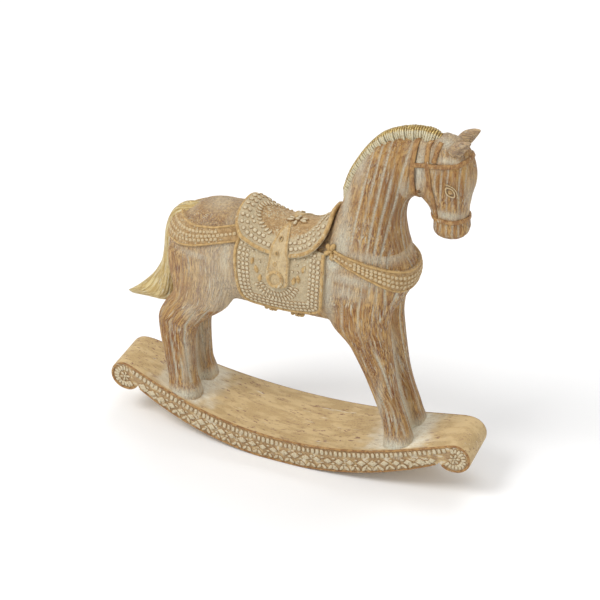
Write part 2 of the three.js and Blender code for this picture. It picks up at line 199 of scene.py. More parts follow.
def even(line: Array, pitch: float, closed: bool = False, inset: float = 0.5) -> Array:
    """Places points along a line at equal steps.

    Args:
        line: the line's points.
        pitch: the wanted step, which is adjusted to fit a whole number of steps.
        closed: whether the line returns to its start.
        inset: share of a step left free at either end of an open line.

    Returns:
        The new points.
    """
    path = np.vstack([line, line[:1]]) if closed else line
    reach = travelled(path)
    steps = max(int(round(reach[-1] / pitch)), 1)
    if closed:
        wanted = np.arange(steps) * reach[-1] / steps
    else:
        wanted = np.linspace(inset, steps - inset, steps) * reach[-1] / steps
    return read_at(wanted, reach, path)


def tangents(line: Array, closed: bool = False) -> Array:
    """Directions along a line.

    Args:
        line: the line's points.
        closed: whether the line returns to its start.

    Returns:
        A unit direction at each point.
    """
    if closed:
        step = np.roll(line, -1, 0) - np.roll(line, 1, 0)
    else:
        step = np.gradient(line, axis=0)
    return step / np.maximum(np.linalg.norm(step, axis=1, keepdims=True), 1e-9)


def moved_in(line: Array, distance: float, closed: bool = True) -> Array:
    """Moves a flat line to its left by a distance, which is negative to its right."""
    along = tangents(line, closed)
    return line + distance * np.stack([-along[:, 1], along[:, 0]], 1)


def unit(rows: Array) -> Array:
    """Scales each row to length one."""
    return rows / np.maximum(np.linalg.norm(rows, axis=-1, keepdims=True), 1e-9)


def travelled(line: Array) -> Array:
    """How far along a line each of its points lies."""
    return np.concatenate([[0], np.cumsum(np.linalg.norm(np.diff(line, axis=0), axis=1))])


def read_at(wanted: Array, places: Array, rows: Array) -> Array:
    """Reads rows, given at rising places, at the wanted places."""
    return np.stack([np.interp(wanted, places, rows[:, k]) for k in range(rows.shape[1])], 1)


def rounded(values: Array, power: float) -> Array:
    """Raises values to a power and keeps their signs."""
    return np.sign(values) * np.abs(values) ** power


def turns(count: int) -> Array:
    """Angles of so many even steps round a circle."""
    return np.arange(count) * 2 * math.pi / count


def circle(turn: Array) -> Array:
    """Points at angles round a circle of radius one."""
    return np.stack([np.cos(turn), np.sin(turn)], 1)


def direction(degrees: float) -> Array:
    """The drawn direction at an angle."""
    return np.array([math.cos(math.radians(degrees)), math.sin(math.radians(degrees))])


def section(top: Array, low: Array, along: Array, across: Array) -> Array:
    """One cross-section between a top and a bottom point of the side view.

    Args:
        top: the top point.
        low: the bottom point.
        along: where each ring point lies between them, one at the top and minus one at the bottom.
        across: each ring point's y.

    Returns:
        The ring's points.
    """
    middle, half = (top + low) / 2, (top - low) / 2
    return np.stack([middle[0] + half[0] * along, across, middle[1] + half[1] * along], 1)


def lattice_noise(places: Array, seed: int) -> Array:
    """Smooth random numbers in space.

    Args:
        places: where to read them, counted in cells of the noise.
        seed: which pattern.

    Returns:
        A number from 0 to 1 at each place.
    """
    cell = np.floor(places).astype(np.int64)
    part = places - cell
    part = part * part * (3 - 2 * part)
    total = np.zeros(len(places))
    for corner in range(8):
        step = np.array([corner & 1, corner >> 1 & 1, corner >> 2 & 1])
        key = (cell + step).astype(np.uint64)
        mixed = key[:, 0] * np.uint64(73856093) ^ key[:, 1] * np.uint64(19349663)
        mixed ^= key[:, 2] * np.uint64(83492791) ^ np.uint64(seed * 2654435761 % 2 ** 32)
        mixed = (mixed ^ (mixed >> np.uint64(15))) * np.uint64(2246822519) & np.uint64(0xFFFFFFFF)
        mixed = (mixed ^ (mixed >> np.uint64(13))) * np.uint64(3266489917) & np.uint64(0xFFFFFFFF)
        value = (mixed ^ (mixed >> np.uint64(16))).astype(float) / 2 ** 32
        share = np.prod(np.where(step == 1, part, 1 - part), axis=1)
        total += value * share
    return total


def linked(name: str, data: bpy.types.ID) -> bpy.types.Object:
    """Makes an object and links it to the scene."""
    made = bpy.data.objects.new(name, data)
    bpy.context.scene.collection.objects.link(made)
    return made


def noted(mesh: bpy.types.Mesh, key: str, rows: Array) -> None:
    """Writes one number or one vector for each vertex into an attribute.

    Args:
        mesh: the mesh that gets it.
        key: the attribute's name.
        rows: the numbers or vectors.
    """
    rows = np.asarray(rows, np.float32)
    kind, field = ("FLOAT", "value") if rows.ndim == 1 else ("FLOAT_VECTOR", "vector")
    mesh.attributes.new(key, kind, "POINT").data.foreach_set(field, rows.reshape(-1))


def evaluated(piece: bpy.types.Object) -> bpy.types.Mesh:
    """The mesh that an object's modifiers make."""
    graph = bpy.context.evaluated_depsgraph_get()
    graph.update()
    return bpy.data.meshes.new_from_object(piece.evaluated_get(graph), depsgraph=graph)


def vertices(mesh: bpy.types.Mesh) -> Array:
    """Places of a mesh's vertices, in millimetres."""
    places = np.zeros(len(mesh.vertices) * 3)
    mesh.vertices.foreach_get("co", places)
    return places.reshape(-1, 3) / MM


def mesh_object(name: str, shell: Shell, flow: Array | None = None, wash: Array | None = None,
                gouge: Array | None = None) -> bpy.types.Object:
    """Makes an object from a shell, in metres.

    Args:
        name: the object's name.
        shell: its points and faces.
        flow: coordinates that follow the grain, the third along it; places are used when None.
        wash: how much whitewash lies on each vertex, negative for stain and for painted shade.
        gouge: how deep each vertex lies in a carved groove.

    Returns:
        The object, linked to the scene and shaded smooth.
    """
    mesh = bpy.data.meshes.new(name)
    mesh.from_pydata((shell.points * MM).tolist(), [], [tuple(map(int, f)) for f in shell.faces])
    mesh.validate()
    zero = np.zeros(len(mesh.vertices))
    noted(mesh, "flow", shell.points if flow is None else flow)
    for key, values in (("crest", shell.crests()), ("wash", wash), ("gouge", gouge)):
        noted(mesh, key, zero if values is None else values)
    mesh.polygons.foreach_set("use_smooth", [True] * len(mesh.polygons))
    return linked(name, mesh)


def finished(piece: bpy.types.Object, finish: "Finish", stands_for: bool = False) -> None:
    """Gives a piece its finish and hangs it on the part.

    Args:
        piece: the piece.
        finish: its finish.
        stands_for: whether the piece takes the place of the solid.
    """
    piece.data.materials.clear()
    piece.data.materials.append(finish.material())
    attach(piece, BODY)
    if stands_for:
        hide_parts(NODE)
    piece.data.calc_loop_triangles()
    LOG.info("%s: %d triangles", piece.name, len(piece.data.loop_triangles))


# The finishes


@dataclass(frozen=True)
class CastFinish:
    """Painted cast resin that imitates worn, whitewashed wood.

    Args:
        name: the material's name.
        high: colour of the plain worn surface.
        low: second tone of that surface.
        deep: stain in the narrow streaks, the pits and the stain pools; painted shade on the neck front and
            chest.
        wash: colour of the whitewash.
        across: size of the streaks across the grain.
        run: size of the streaks along the grain.
        stain: share of the surface that the stain streaks take.
        veil: share of the surface under a thin whitewash.
        pits: how dark the small pits are.
        relief: depth of the fine grain.
        rough: roughness of the worn surface.
        sheen_metal: how metallic the worn surface is.
        crest_wash: how much the whitewash keeps to the raised places, negative for the hollows.
    """

    name: str
    high: str
    low: str
    deep: str
    wash: str
    across: float = 2.0
    run: float = 22.0
    stain: float = 0.3
    veil: float = 0.3
    pits: float = 0.4
    relief: float = 0.25
    rough: float = 0.58
    sheen_metal: float = 0.0
    crest_wash: float = 0.0

    def material(self) -> bpy.types.Material:
        """Builds the material.

        Returns:
            The finished material.
        """
        material = bpy.data.materials.new(self.name)
        material.use_nodes = True
        kit = NodeKit(material.node_tree)
        flow = kit.attribute("flow", "Vector")
        tone = kit.noise(self.stretched(kit, flow, 1.0), 1.0, 4.0, 0.6)
        slow = (1.5 / self.across, 1.5 / self.across, 0.55 / self.run)
        pale = kit.noise(kit.scaled(flow, slow), 1.3, 4.0, 0.6)
        lines = kit.noise(self.stretched(kit, flow, 3.1), 1.0, 4.0, 0.65)
        broad = kit.noise(kit.scaled(flow, (0.07, 0.07, 0.05)), 1.0, 3.0, 0.6)
        speck = kit.noise(flow, 1.25, 3.0, 0.65)
        base = kit.mixed(kit.ramped(tone, 0.4, 0.6), linear(self.high), linear(self.low))
        edge = 0.62 - 0.16 * self.stain
        stain = kit.math("MULTIPLY", kit.ramped(lines, edge, edge + 0.07), kit.ramped(broad, 0.34, 0.56))
        pits = kit.math("MULTIPLY", kit.ramped(speck, 0.56, 0.64), kit.ramped(tone, 0.42, 0.56))
        stain = kit.math("MAXIMUM", stain, kit.math("MULTIPLY", pits, self.pits))
        # Negative wash darkens towards the deep colour. This is stain on the legs, head and board edges, and
        # painted shade on the horse's neck front and chest.
        stain_and_shade = kit.math("MULTIPLY", kit.attribute("wash", "Fac"), kit.ramped(speck, 0.35, 0.6, -0.45, -1.0))
        stain = kit.clamped(kit.math("MAXIMUM", stain, stain_and_shade))
        coloured = kit.mixed(kit.math("MULTIPLY", stain, 0.92), base, linear(self.deep))
        wash = self.whitewash(kit, pale, lines, broad, speck)
        colour = kit.mixed(wash, coloured, linear(self.wash))
        height = kit.math("ADD", kit.ramped(tone, 0.36, 0.64, 0.0, 0.7),
                          kit.ramped(lines, 0.34, 0.66, 0.0, 0.6))
        height = kit.math("ADD", height, kit.math("MULTIPLY", speck, 0.4))
        shader = kit.shader
        kit.link(colour, shader.inputs["Base Color"])
        kit.link(kit.ramped(kit.math("ADD", wash, kit.math("MULTIPLY", speck, 0.3)), -0.2, 1.2,
                            self.rough - 0.1, self.rough + 0.24), shader.inputs["Roughness"])
        shader.inputs["Specular IOR Level"].default_value = 0.35
        if self.sheen_metal:
            bare = kit.math("MULTIPLY", kit.math("SUBTRACT", 1.0, wash), self.sheen_metal)
            kit.link(bare, shader.inputs["Metallic"])
        kit.link(kit.bumped(height, self.relief * MM), shader.inputs["Normal"])
        return material

    def stretched(self, kit: "NodeKit", flow: Socket, times: float) -> Socket:
        """Coordinates of streaks so many times finer than the finish's own."""
        return kit.scaled(flow, (times / self.across, times / self.across, times / self.run))

    def whitewash(self, kit: "NodeKit", pale: Socket, lines: Socket, broad: Socket,
                  speck: Socket) -> Socket:
        """How much whitewash shows.

        Args:
            kit: the material's nodes.
            pale: noise of the pale streaks.
            lines: noise of the thin streaks.
            broad: noise of the large patches.
            speck: noise of the grains.

        Returns:
            From 0 to 1.
        """
        limit = 0.66 - 0.24 * self.veil
        veil = kit.math("ADD", kit.math("MULTIPLY", pale, 0.7), kit.math("MULTIPLY", broad, 0.3))
        veil = kit.math("MULTIPLY", kit.ramped(veil, limit - 0.02, limit + 0.1),
                        kit.ramped(lines, 0.3, 0.55, 0.45, 0.95))
        hollow = kit.math("MULTIPLY", kit.attribute("gouge", "Fac"), kit.ramped(speck, 0.34, 0.56, 0.4, 1.1))
        pooled = kit.math("MULTIPLY", kit.attribute("wash", "Fac"), kit.ramped(speck, 0.3, 0.54, 0.6, 1.15))
        pooled = kit.math("MULTIPLY", pooled, kit.ramped(lines, 0.4, 0.62, 1.0, 0.75))
        wash = kit.math("MAXIMUM", kit.math("MAXIMUM", hollow, pooled), veil)
        if self.crest_wash:
            crest = kit.attribute("crest", "Fac")
            if self.crest_wash < 0:
                crest = kit.math("SUBTRACT", 1.0, crest)
            share = kit.math("MULTIPLY", kit.ramped(crest, 0.3, 0.85), abs(self.crest_wash))
            share = kit.math("MULTIPLY", share, kit.ramped(speck, 0.36, 0.52, 0.35, 1.0))
            wash = kit.math("MAXIMUM", wash, share)
        return kit.clamped(wash)


class NodeKit:
    """Short calls for the nodes that the finishes and the repeated carving use."""

    def __init__(self, tree: bpy.types.NodeTree) -> None:
        """Keeps the tree and its shader, which a tree of geometry nodes hasn't."""
        self.tree = tree
        self.shader = next((n for n in tree.nodes if n.type == "BSDF_PRINCIPLED"), None)

    def link(self, source: Socket, target: Socket) -> None:
        """Joins two sockets."""
        self.tree.links.new(source, target)

    def feed(self, value: object, socket: Socket) -> None:
        """Sets a socket to a number or joins it to another socket.

        Args:
            value: the number or the other socket.
            socket: the socket to set.
        """
        if isinstance(value, Socket):
            self.link(value, socket)
        else:
            socket.default_value = value

    def node(self, kind: str, feeds: dict, **settings: str) -> bpy.types.Node:
        """Adds a node.

        Args:
            kind: its type.
            feeds: what its sockets are given, by the socket's name or number.
            **settings: its own settings.

        Returns:
            The node.
        """
        node = self.tree.nodes.new(kind)
        for key, value in settings.items():
            setattr(node, key, value)
        for key, value in feeds.items():
            self.feed(value, node.inputs[key])
        return node

    def attribute(self, name: str, output: str) -> Socket:
        """Reads one of the mesh's own attributes."""
        return self.node("ShaderNodeAttribute", {}, attribute_name=name).outputs[output]

    def scaled(self, vector: Socket, scale: Triple | Socket) -> Socket:
        """Multiplies a vector by another."""
        return self.node("ShaderNodeVectorMath", {0: vector, 1: scale}, operation="MULTIPLY").outputs[0]

    def noise(self, vector: Socket, scale: float, detail: float, rough: float) -> Socket:
        """Reads fractal noise at a vector."""
        feeds = {"Vector": vector, "Scale": scale, "Detail": detail, "Roughness": rough}
        return self.node("ShaderNodeTexNoise", feeds).outputs["Fac"]

    def ramped(self, value: Socket, low: float, high: float, start: float = 0.0,
               end: float = 1.0) -> Socket:
        """Stretches a range of values smoothly to another range."""
        feeds = {"Value": value, "From Min": low, "From Max": high, "To Min": start, "To Max": end}
        return self.node("ShaderNodeMapRange", feeds, interpolation_type="SMOOTHSTEP").outputs["Result"]

    def math(self, operation: str, a: object, b: object) -> Socket:
        """Combines two values."""
        return self.node("ShaderNodeMath", {0: a, 1: b}, operation=operation).outputs[0]

    def clamped(self, value: Socket) -> Socket:
        """Keeps a value between 0 and 1."""
        return self.node("ShaderNodeClamp", {"Value": value}).outputs["Result"]

    def mixed(self, share: Socket, a: object, b: object) -> Socket:
        """Mixes two colours, which are the mix node's sockets 6 and 7."""
        return self.node("ShaderNodeMix", {"Factor": share, 6: a, 7: b}, data_type="RGBA").outputs[2]

    def bumped(self, height: Socket, distance: float) -> Socket:
        """Turns a height into a bumped normal."""
        feeds = {"Strength": 0.9, "Distance": distance, "Height": height}
        return self.node("ShaderNodeBump", feeds).outputs["Normal"]


class Finish(Enum):
    """The finishes of the casting."""

    CARVED = CastFinish("carved_wood_look", "CEA464", "AC7B42", "6E3918", "DFDAC4",
                        across=1.6, run=16.0, stain=0.8, veil=0.44, pits=0.9, relief=0.8)
    BOARD = CastFinish("board_wood_look", "C4AA7C", "B3986A", "7C5844", "DDD8C6",
                       across=4.5, run=14.0, stain=0.34, veil=0.16, pits=0.35, relief=0.25)
    GROUND = CastFinish("relief_ground", "B69668", "9C7C50", "7C5636", "C9C3A8",
                        across=1.8, run=1.9, stain=0.35, veil=0.5, pits=0.5, relief=0.25)
    RIM = CastFinish("golden_rim", "C2A26C", "AC8B58", "7A5233", "CFC8AC",
                     across=2.2, run=3.6, stain=0.35, veil=0.35, pits=0.4, relief=0.2, rough=0.52)
    STRAP = CastFinish("rust_brown_strap", "AD8652", "8E663C", "653D24", "CBC3A8",
                       across=2.0, run=3.4, stain=0.45, veil=0.3, pits=0.5, relief=0.2, rough=0.52)
    STUD = CastFinish("whitewashed_studs", "AC8B5E", "8C6B45", "6A462C", "D6CDB0",
                      across=1.0, run=1.2, stain=0.4, veil=0.3, relief=0.12, crest_wash=0.78)
    KNOB = CastFinish("tan_studs", "C0A273", "A68657", "7A5233", "D2C8AA",
                      across=1.0, run=1.2, stain=0.35, veil=0.3, relief=0.12, crest_wash=0.5)
    GILT = CastFinish("gilt_hair", "D9C692", "BFA36A", "8E7244", "D6CFB6",
                      across=1.2, run=9.0, stain=0.4, veil=0.55, pits=0.3, relief=0.25, rough=0.36,
                      sheen_metal=0.7)
    MANE = CastFinish("gilt_edged_mane", "D0B878", "A98B52", "7C5E38", "CCC5AB",
                      across=1.2, run=3.0, stain=0.4, veil=0.4, pits=0.5, relief=0.15, rough=0.36,
                      sheen_metal=0.7, crest_wash=-0.9)

    def material(self) -> bpy.types.Material:
        """The finish's material, built once."""
        found = bpy.data.materials.get(self.value.name)
        return found or self.value.material()


# Repeated carving


class Motif(Enum):
    """The small raised shapes that repeat on the casting."""

    BEAD = "bead"
    PETAL = "petal"
    FLUTE = "flute"
    DIAMOND = "diamond"
    ALMOND = "almond"

    def outline(self, turn: Array) -> Array:
        """The shape's plan, one long and one wide.

        Args:
            turn: angles round the plan.

        Returns:
            Plan points, the first coordinate along the shape.
        """
        c, s = np.cos(turn), np.sin(turn)
        if self is Motif.FLUTE:
            return 0.5 * rounded(circle(turn), 0.6)
        if self is Motif.PETAL:
            return 0.5 * np.stack([c, s * (0.84 + 0.16 * c)], 1)
        if self is Motif.DIAMOND:
            reach = 0.5 / (abs(c) + abs(s))
            return np.stack([c * reach, s * reach], 1)
        if self is Motif.ALMOND:
            return 0.5 * np.stack([c, s * (1 - 0.45 * c * c)], 1)
        return 0.5 * rounded(circle(turn), 0.85)

    def shell(self) -> Shell:
        """The shape as a closed shell, standing on z = 0 with its foot sunk below.

        Returns:
            The shell, one unit long, wide and high.
        """
        turn = np.arange(8) * math.pi / 4
        plan = self.outline(turn)
        sharp = self is Motif.DIAMOND
        levels = [(1.0, -0.6), (1.0, 0.0), (0.74, 0.85), (0.3, 1.0)] if sharp else [
            (1.0, -0.6), (0.98, 0.15), (0.72, 0.72), (0.3, 0.97)]
        rings = [np.column_stack([plan * share, np.full(8, height)]) for share, height in levels]
        crest = np.array([np.full(8, max(height, 0.0)) for _, height in levels])
        shell = tube(np.array(rings), crest=crest)
        shell.crest[-1] = 1.0
        return shell


@dataclass
class Guides:
    """Places that a motif repeats at.

    Args:
        places: where each copy stands.
        normals: the way each copy rises.
        alongs: the way each copy's length runs.
        sizes: each copy's length, width and height.
    """

    places: Array
    normals: Array
    alongs: Array
    sizes: Array

    @staticmethod
    def joined(rows: list["Guides"]) -> "Guides":
        """Puts several rows of places into one."""
        return Guides(*(np.vstack([getattr(r, key) for r in rows])
                        for key in ("places", "normals", "alongs", "sizes")))


GUIDE_KEYS = ("rise_dir", "run_dir", "extent")


class RepeatNodes:
    """Geometry nodes that set a shape on every guide point, turned and sized by the point."""

    def __init__(self) -> None:
        """Builds the tree once for all rows."""
        tree = bpy.data.node_groups.new("repeat_on_guides", "GeometryNodeTree")
        self.tree = tree
        face = tree.interface
        face.new_socket("Geometry", in_out="INPUT", socket_type="NodeSocketGeometry")
        face.new_socket("Geometry", in_out="OUTPUT", socket_type="NodeSocketGeometry")
        self.sockets = {}
        for name, kind in (("Shape", "NodeSocketObject"), ("Jitter", "NodeSocketFloat"),
                           ("Finish", "NodeSocketMaterial")):
            item = face.new_socket(name, in_out="INPUT", socket_type=kind)
            self.sockets[name] = item.identifier
        kit = NodeKit(tree)
        entry = tree.nodes.new("NodeGroupInput").outputs
        shape = kit.node("GeometryNodeObjectInfo", {"Object": entry["Shape"]})
        rise, run, extent = (kit.node("GeometryNodeInputNamedAttribute", {"Name": name},
                                      data_type="FLOAT_VECTOR").outputs["Attribute"] for name in GUIDE_KEYS)
        turn = kit.node("FunctionNodeAxesToRotation", {0: rise, 1: run}, primary_axis="Z", secondary_axis="X")
        chance = kit.node("FunctionNodeRandomValue", {"Seed": 1}, data_type="FLOAT").outputs[1]
        share = kit.math("MULTIPLY", kit.math("SUBTRACT", chance, 0.5), entry["Jitter"])
        width = kit.math("ADD", share, 1.0)
        size = kit.node("ShaderNodeCombineXYZ", {0: width, 1: width, 2: 1.0}).outputs[0]
        place = kit.node("GeometryNodeInstanceOnPoints", {
            "Points": entry["Geometry"], "Instance": shape.outputs["Geometry"],
            "Rotation": turn.outputs[0], "Scale": kit.scaled(extent, size)})
        solid = kit.node("GeometryNodeRealizeInstances", {0: place.outputs[0]})
        painted = kit.node("GeometryNodeSetMaterial", {"Geometry": solid.outputs[0],
                                                       "Material": entry["Finish"]})
        kit.node("NodeGroupOutput", {0: painted.outputs[0]})

    def run(self, name: str, shell: Shell, guides: Guides, finish: Finish, jitter: float = 0.28) -> None:
        """Repeats a shape on guide points and finishes the piece that comes of it.

        Args:
            name: the new piece's name.
            shell: the shape that repeats, one unit in size.
            guides: where it repeats.
            finish: its finish.
            jitter: how much the copies differ in size.
        """
        points = bpy.data.meshes.new(name + "_guides")
        points.from_pydata((guides.places * MM).tolist(), [], [])
        for key, rows in zip(GUIDE_KEYS, (guides.normals, guides.alongs, guides.sizes * MM)):
            noted(points, key, rows)
        carrier = linked(name + "_carrier", points)
        shape_mesh = bpy.data.meshes.new(name + "_shape")
        shape_mesh.from_pydata(shell.points.tolist(), [], shell.faces)
        noted(shape_mesh, "crest", shell.crests())
        shape_mesh.polygons.foreach_set("use_smooth", [True] * len(shape_mesh.polygons))
        shape = linked(name + "_shape", shape_mesh)
        modifier = carrier.modifiers.new("repeat", "NODES")
        modifier.node_group = self.tree
        for key, value in {"Shape": shape, "Jitter": jitter, "Finish": finish.material()}.items():
            modifier[self.sockets[key]] = value
        mesh = evaluated(carrier)
        mesh.name = name
        for helper in (carrier, shape):
            bpy.data.objects.remove(helper)
        for key in GUIDE_KEYS:
            if key in mesh.attributes:
                mesh.attributes.remove(mesh.attributes[key])
        noted(mesh, "flow", vertices(mesh))
        for key in ("wash", "gouge"):
            mesh.attributes.new(key, "FLOAT", "POINT")
        finished(linked(name, mesh), finish)


# Surfaces that the carving is laid on


class Surface:
    """A skin that lines and shapes can be laid on."""

    def __init__(self, shell: Shell) -> None:
        """Prepares the skin for ray casting."""
        self.tree = BVHTree.FromPolygons(shell.points.tolist(), shell.faces)

    def cast(self, origin: Array, direction: Array) -> tuple[Array, Array]:
        """Finds where a ray meets the skin.

        Args:
            origin: the ray's start.
            direction: its way.

        Returns:
            The place and the outward normal there; the nearest place where the ray misses.
        """
        place, normal, _, _ = self.tree.ray_cast(Vector(origin), Vector(direction))
        if place is None:
            place, normal, _, _ = self.tree.find_nearest(Vector(origin + direction * FAR))
        normal = np.array(normal)
        if normal @ direction > 0:
            normal = -normal
        return np.array(place), normal


class Chart:
    """A flat drawing laid on a skin: the subclass says where a drawn point lies."""

    lift = 0.0

    def at(self, a: float, b: float) -> tuple[Array, Array]:
        """Where a drawn point lies, and the normal there."""
        raise NotImplementedError

    def lay(self, drawn: Array, lift: float | Array = 0.0) -> tuple[Array, Array]:
        """Lays drawn points on the skin.

        Args:
            drawn: the points in the drawing.
            lift: how far above the skin's own lift, one number or one each.

        Returns:
            Places and normals.
        """
        found = [self.at(float(a), float(b)) for a, b in drawn]
        normals = np.array([n for _, n in found])
        places = np.array([p for p, _ in found])
        rise = np.broadcast_to(np.asarray(lift, float) + self.lift, (len(drawn),))
        return places + normals * rise[:, None], normals

    def guides(self, drawn: Array, ways: Array, size: Triple,
               lift: float = 0.0) -> Guides:
        """Makes guide points of drawn points.

        Args:
            drawn: the points in the drawing.
            ways: the drawn direction of each copy's length.
            size: length, width and height of a copy.
            lift: how far above the skin's own lift.

        Returns:
            The guides.
        """
        places, normals = self.lay(drawn, lift)
        ahead, _ = self.lay(drawn + 0.4 * unit(ways), lift)
        alongs = unit(ahead - places)
        return Guides(places, normals, alongs, np.tile(size, (len(drawn), 1)))


class SideChart(Chart):
    """A side-view drawing laid on one flank."""

    def __init__(self, surface: Surface, sign: float, lift: float = 0.0) -> None:
        """Keeps the flank to lay on."""
        self.surface, self.sign, self.lift = surface, sign, lift

    def at(self, a: float, b: float) -> tuple[Array, Array]:
        """Where a side-view point lies on the flank."""
        return self.surface.cast(np.array([a, 70.0 * self.sign, b]), np.array([0, -self.sign, 0.0]))


class BarrelChart(Chart):
    """A drawing wrapped round the back: along the back, and round it in millimetres."""

    def __init__(self, surface: Surface, axis_height: float, radius: float) -> None:
        """Keeps the axis that the drawing wraps round."""
        self.surface, self.axis_height, self.radius = surface, axis_height, radius

    def at(self, a: float, b: float) -> tuple[Array, Array]:
        """Where a drawn point lies.

        Args:
            a: place along the back.
            b: distance round it from the ridge, positive to the left.

        Returns:
            The place and the normal there.
        """
        turn = b / self.radius
        way = np.array([0.0, math.sin(turn), math.cos(turn)])
        return self.surface.cast(np.array([a, 0.0, self.axis_height]) + way * FAR, -way)

    def drawn(self, x: float, height: float, sign: float) -> tuple[float, float]:
        """Finds the drawn point at a height and a place along the back.

        Args:
            x: the place along the back.
            height: the wanted height.
            sign: which flank.

        Returns:
            The drawn point.
        """
        low, high = 0.0, 2.4 * self.radius
        for _ in range(22):
            middle = (low + high) / 2
            if self.at(x, middle)[0][2] > height:
                low = middle
            else:
                high = middle
        return x, sign * (low + high) / 2


@dataclass
class BandChart(Chart):
    """A strap wrapped round an upright axis.

    Args:
        surface: the skin that it lies on.
        axis_x: where the axis stands.
        start: the strap's first angle.
        end: its last angle.
        heights: rows of place along the body, lower edge and upper edge.
        reach_out: how far from the axis the rays start.
    """

    surface: Surface
    axis_x: float
    start: float
    end: float
    heights: Array
    reach_out: float = FAR

    def __post_init__(self) -> None:
        """Measures the middle line, so that the strap can be drawn in millimetres."""
        self.turns = np.linspace(self.start, self.end, 121)
        line = np.array([self.cast(turn, 0.5)[0] for turn in self.turns])
        self.reach = travelled(line)
        self.reach -= self.reach[-1] / 2

    def cast(self, turn: float, share: float) -> tuple[Array, Array]:
        """Where a point of the strap lies.

        Args:
            turn: angle round the axis.
            share: share of the width, from the lower edge.

        Returns:
            The place and the normal there.
        """
        way = np.array([math.cos(turn), math.sin(turn), 0.0])
        x = self.axis_x + 20 * way[0]
        for _ in range(4):
            low = np.interp(x, self.heights[:, 0], self.heights[:, 1])
            high = np.interp(x, self.heights[:, 0], self.heights[:, 2])
            origin = np.array([self.axis_x, 0.0, low + (high - low) * share]) + way * self.reach_out
            place, normal = self.surface.cast(origin, -way)
            x = place[0]
        return place, normal

    def width(self, along: float) -> float:
        """The strap's width at a distance along it.

        Args:
            along: the distance, from the strap's middle.

        Returns:
            The width there.
        """
        turn = float(np.interp(along, self.reach, self.turns))
        place, _ = self.cast(turn, 0.5)
        low = np.interp(place[0], self.heights[:, 0], self.heights[:, 1])
        return float(np.interp(place[0], self.heights[:, 0], self.heights[:, 2]) - low)

    def at(self, a: float, b: float) -> tuple[Array, Array]:
        """Where a point lies, a in millimetres from the middle, b as a share of the width."""
        return self.cast(float(np.interp(a, self.reach, self.turns)), b)


def sweep(places: Array, normals: Array, width: float | Array, height: float, closed: bool = False,
          sink: float = 0.6, segments: int = 10, blunt: float = 1.0) -> Shell:
    """Lays a rounded bar along a line on a skin.

    Args:
        places: the line's points.
        normals: the skin's normals there.
        width: the bar's width, one number or one each.
        height: how far it stands proud.
        closed: whether the line returns to its start.
        sink: how far it reaches below the skin.
        segments: points round the bar.
        blunt: flatness of its top, one for round.

    Returns:
        The bar.
    """
    along = tangents(places, closed)
    across = unit(np.cross(normals, along))
    upward = np.cross(along, across)
    side, rise = rounded(circle(turns(segments) + math.pi / segments), blunt).T
    rise = np.where(rise > 0, rise * height, rise * sink)
    half = np.broadcast_to(np.asarray(width, float) / 2, (len(places),))
    rings = (places[:, None] + across[:, None] * (half[:, None] * side[None])[:, :, None]
             + upward[:, None] * rise[None, :, None])
    crest = np.tile(np.clip(rise / height, 0, 1), (len(places), 1))
    return tube(rings, closed, crest)


def plate(outer: Array, inner: Array, crest: Array, wrapped: bool = False) -> Shell:
    """Closes two grids of points into a plate.

    Args:
        outer: the seen grid, rows by columns.
        inner: the hidden grid behind it.
        crest: the crest of the seen points.
        wrapped: whether the rows close into a ring.

    Returns:
        The plate with walls round its edges.
    """
    rows, cols, _ = outer.shape
    size = rows * cols
    faces = []
    last = rows if wrapped else rows - 1
    for r in range(last):
        s = (r + 1) % rows
        for c in range(cols - 1):
            a, b, d, e = r * cols + c, r * cols + c + 1, s * cols + c + 1, s * cols + c
            faces.append((a, b, d, e))
            faces.append((size + e, size + d, size + b, size + a))
        for c in (0, cols - 1):
            a, b = r * cols + c, s * cols + c
            wall = (a, b, size + b, size + a)
            faces.append(wall if c == 0 else tuple(reversed(wall)))
    if not wrapped:
        for c in range(cols - 1):
            first = (c + 1, c, size + c, size + c + 1)
            faces.append(first)
            top = (rows - 1) * cols
            faces.append((top + c, top + c + 1, size + top + c + 1, size + top + c))
    points = np.vstack([outer.reshape(-1, 3), inner.reshape(-1, 3)])
    crests = np.concatenate([crest.reshape(-1), np.zeros(size)])
    return outwards(Shell(points, faces, crests))


def raised(places: Array, normals: Array, rise: float | Array, sink: float, crest: Array,
           wrapped: bool = False) -> Shell:
    """A plate that stands on a grid of points laid on a skin.

    Args:
        places: the grid's points, row by row.
        normals: the skin's normals there.
        rise: how far the seen side stands proud, one number or one each.
        sink: how far the hidden side reaches below.
        crest: the crest of the seen points, in the grid's rows and columns.
        wrapped: whether the rows close into a ring.

    Returns:
        The plate.
    """
    shape = (*crest.shape, 3)
    outer = (places + normals * rise).reshape(shape)
    return plate(outer, (places - normals * sink).reshape(shape), crest, wrapped)


def rolled(distance: Array, width: float, height: float) -> Array:
    """Height of a rounded rim at a distance inside its edge, zero beyond its width."""
    share = np.clip(distance / width, 0, 1)
    return height * np.sqrt(np.clip(1 - (2 * share - 1) ** 2, 0, 1))


# The horse


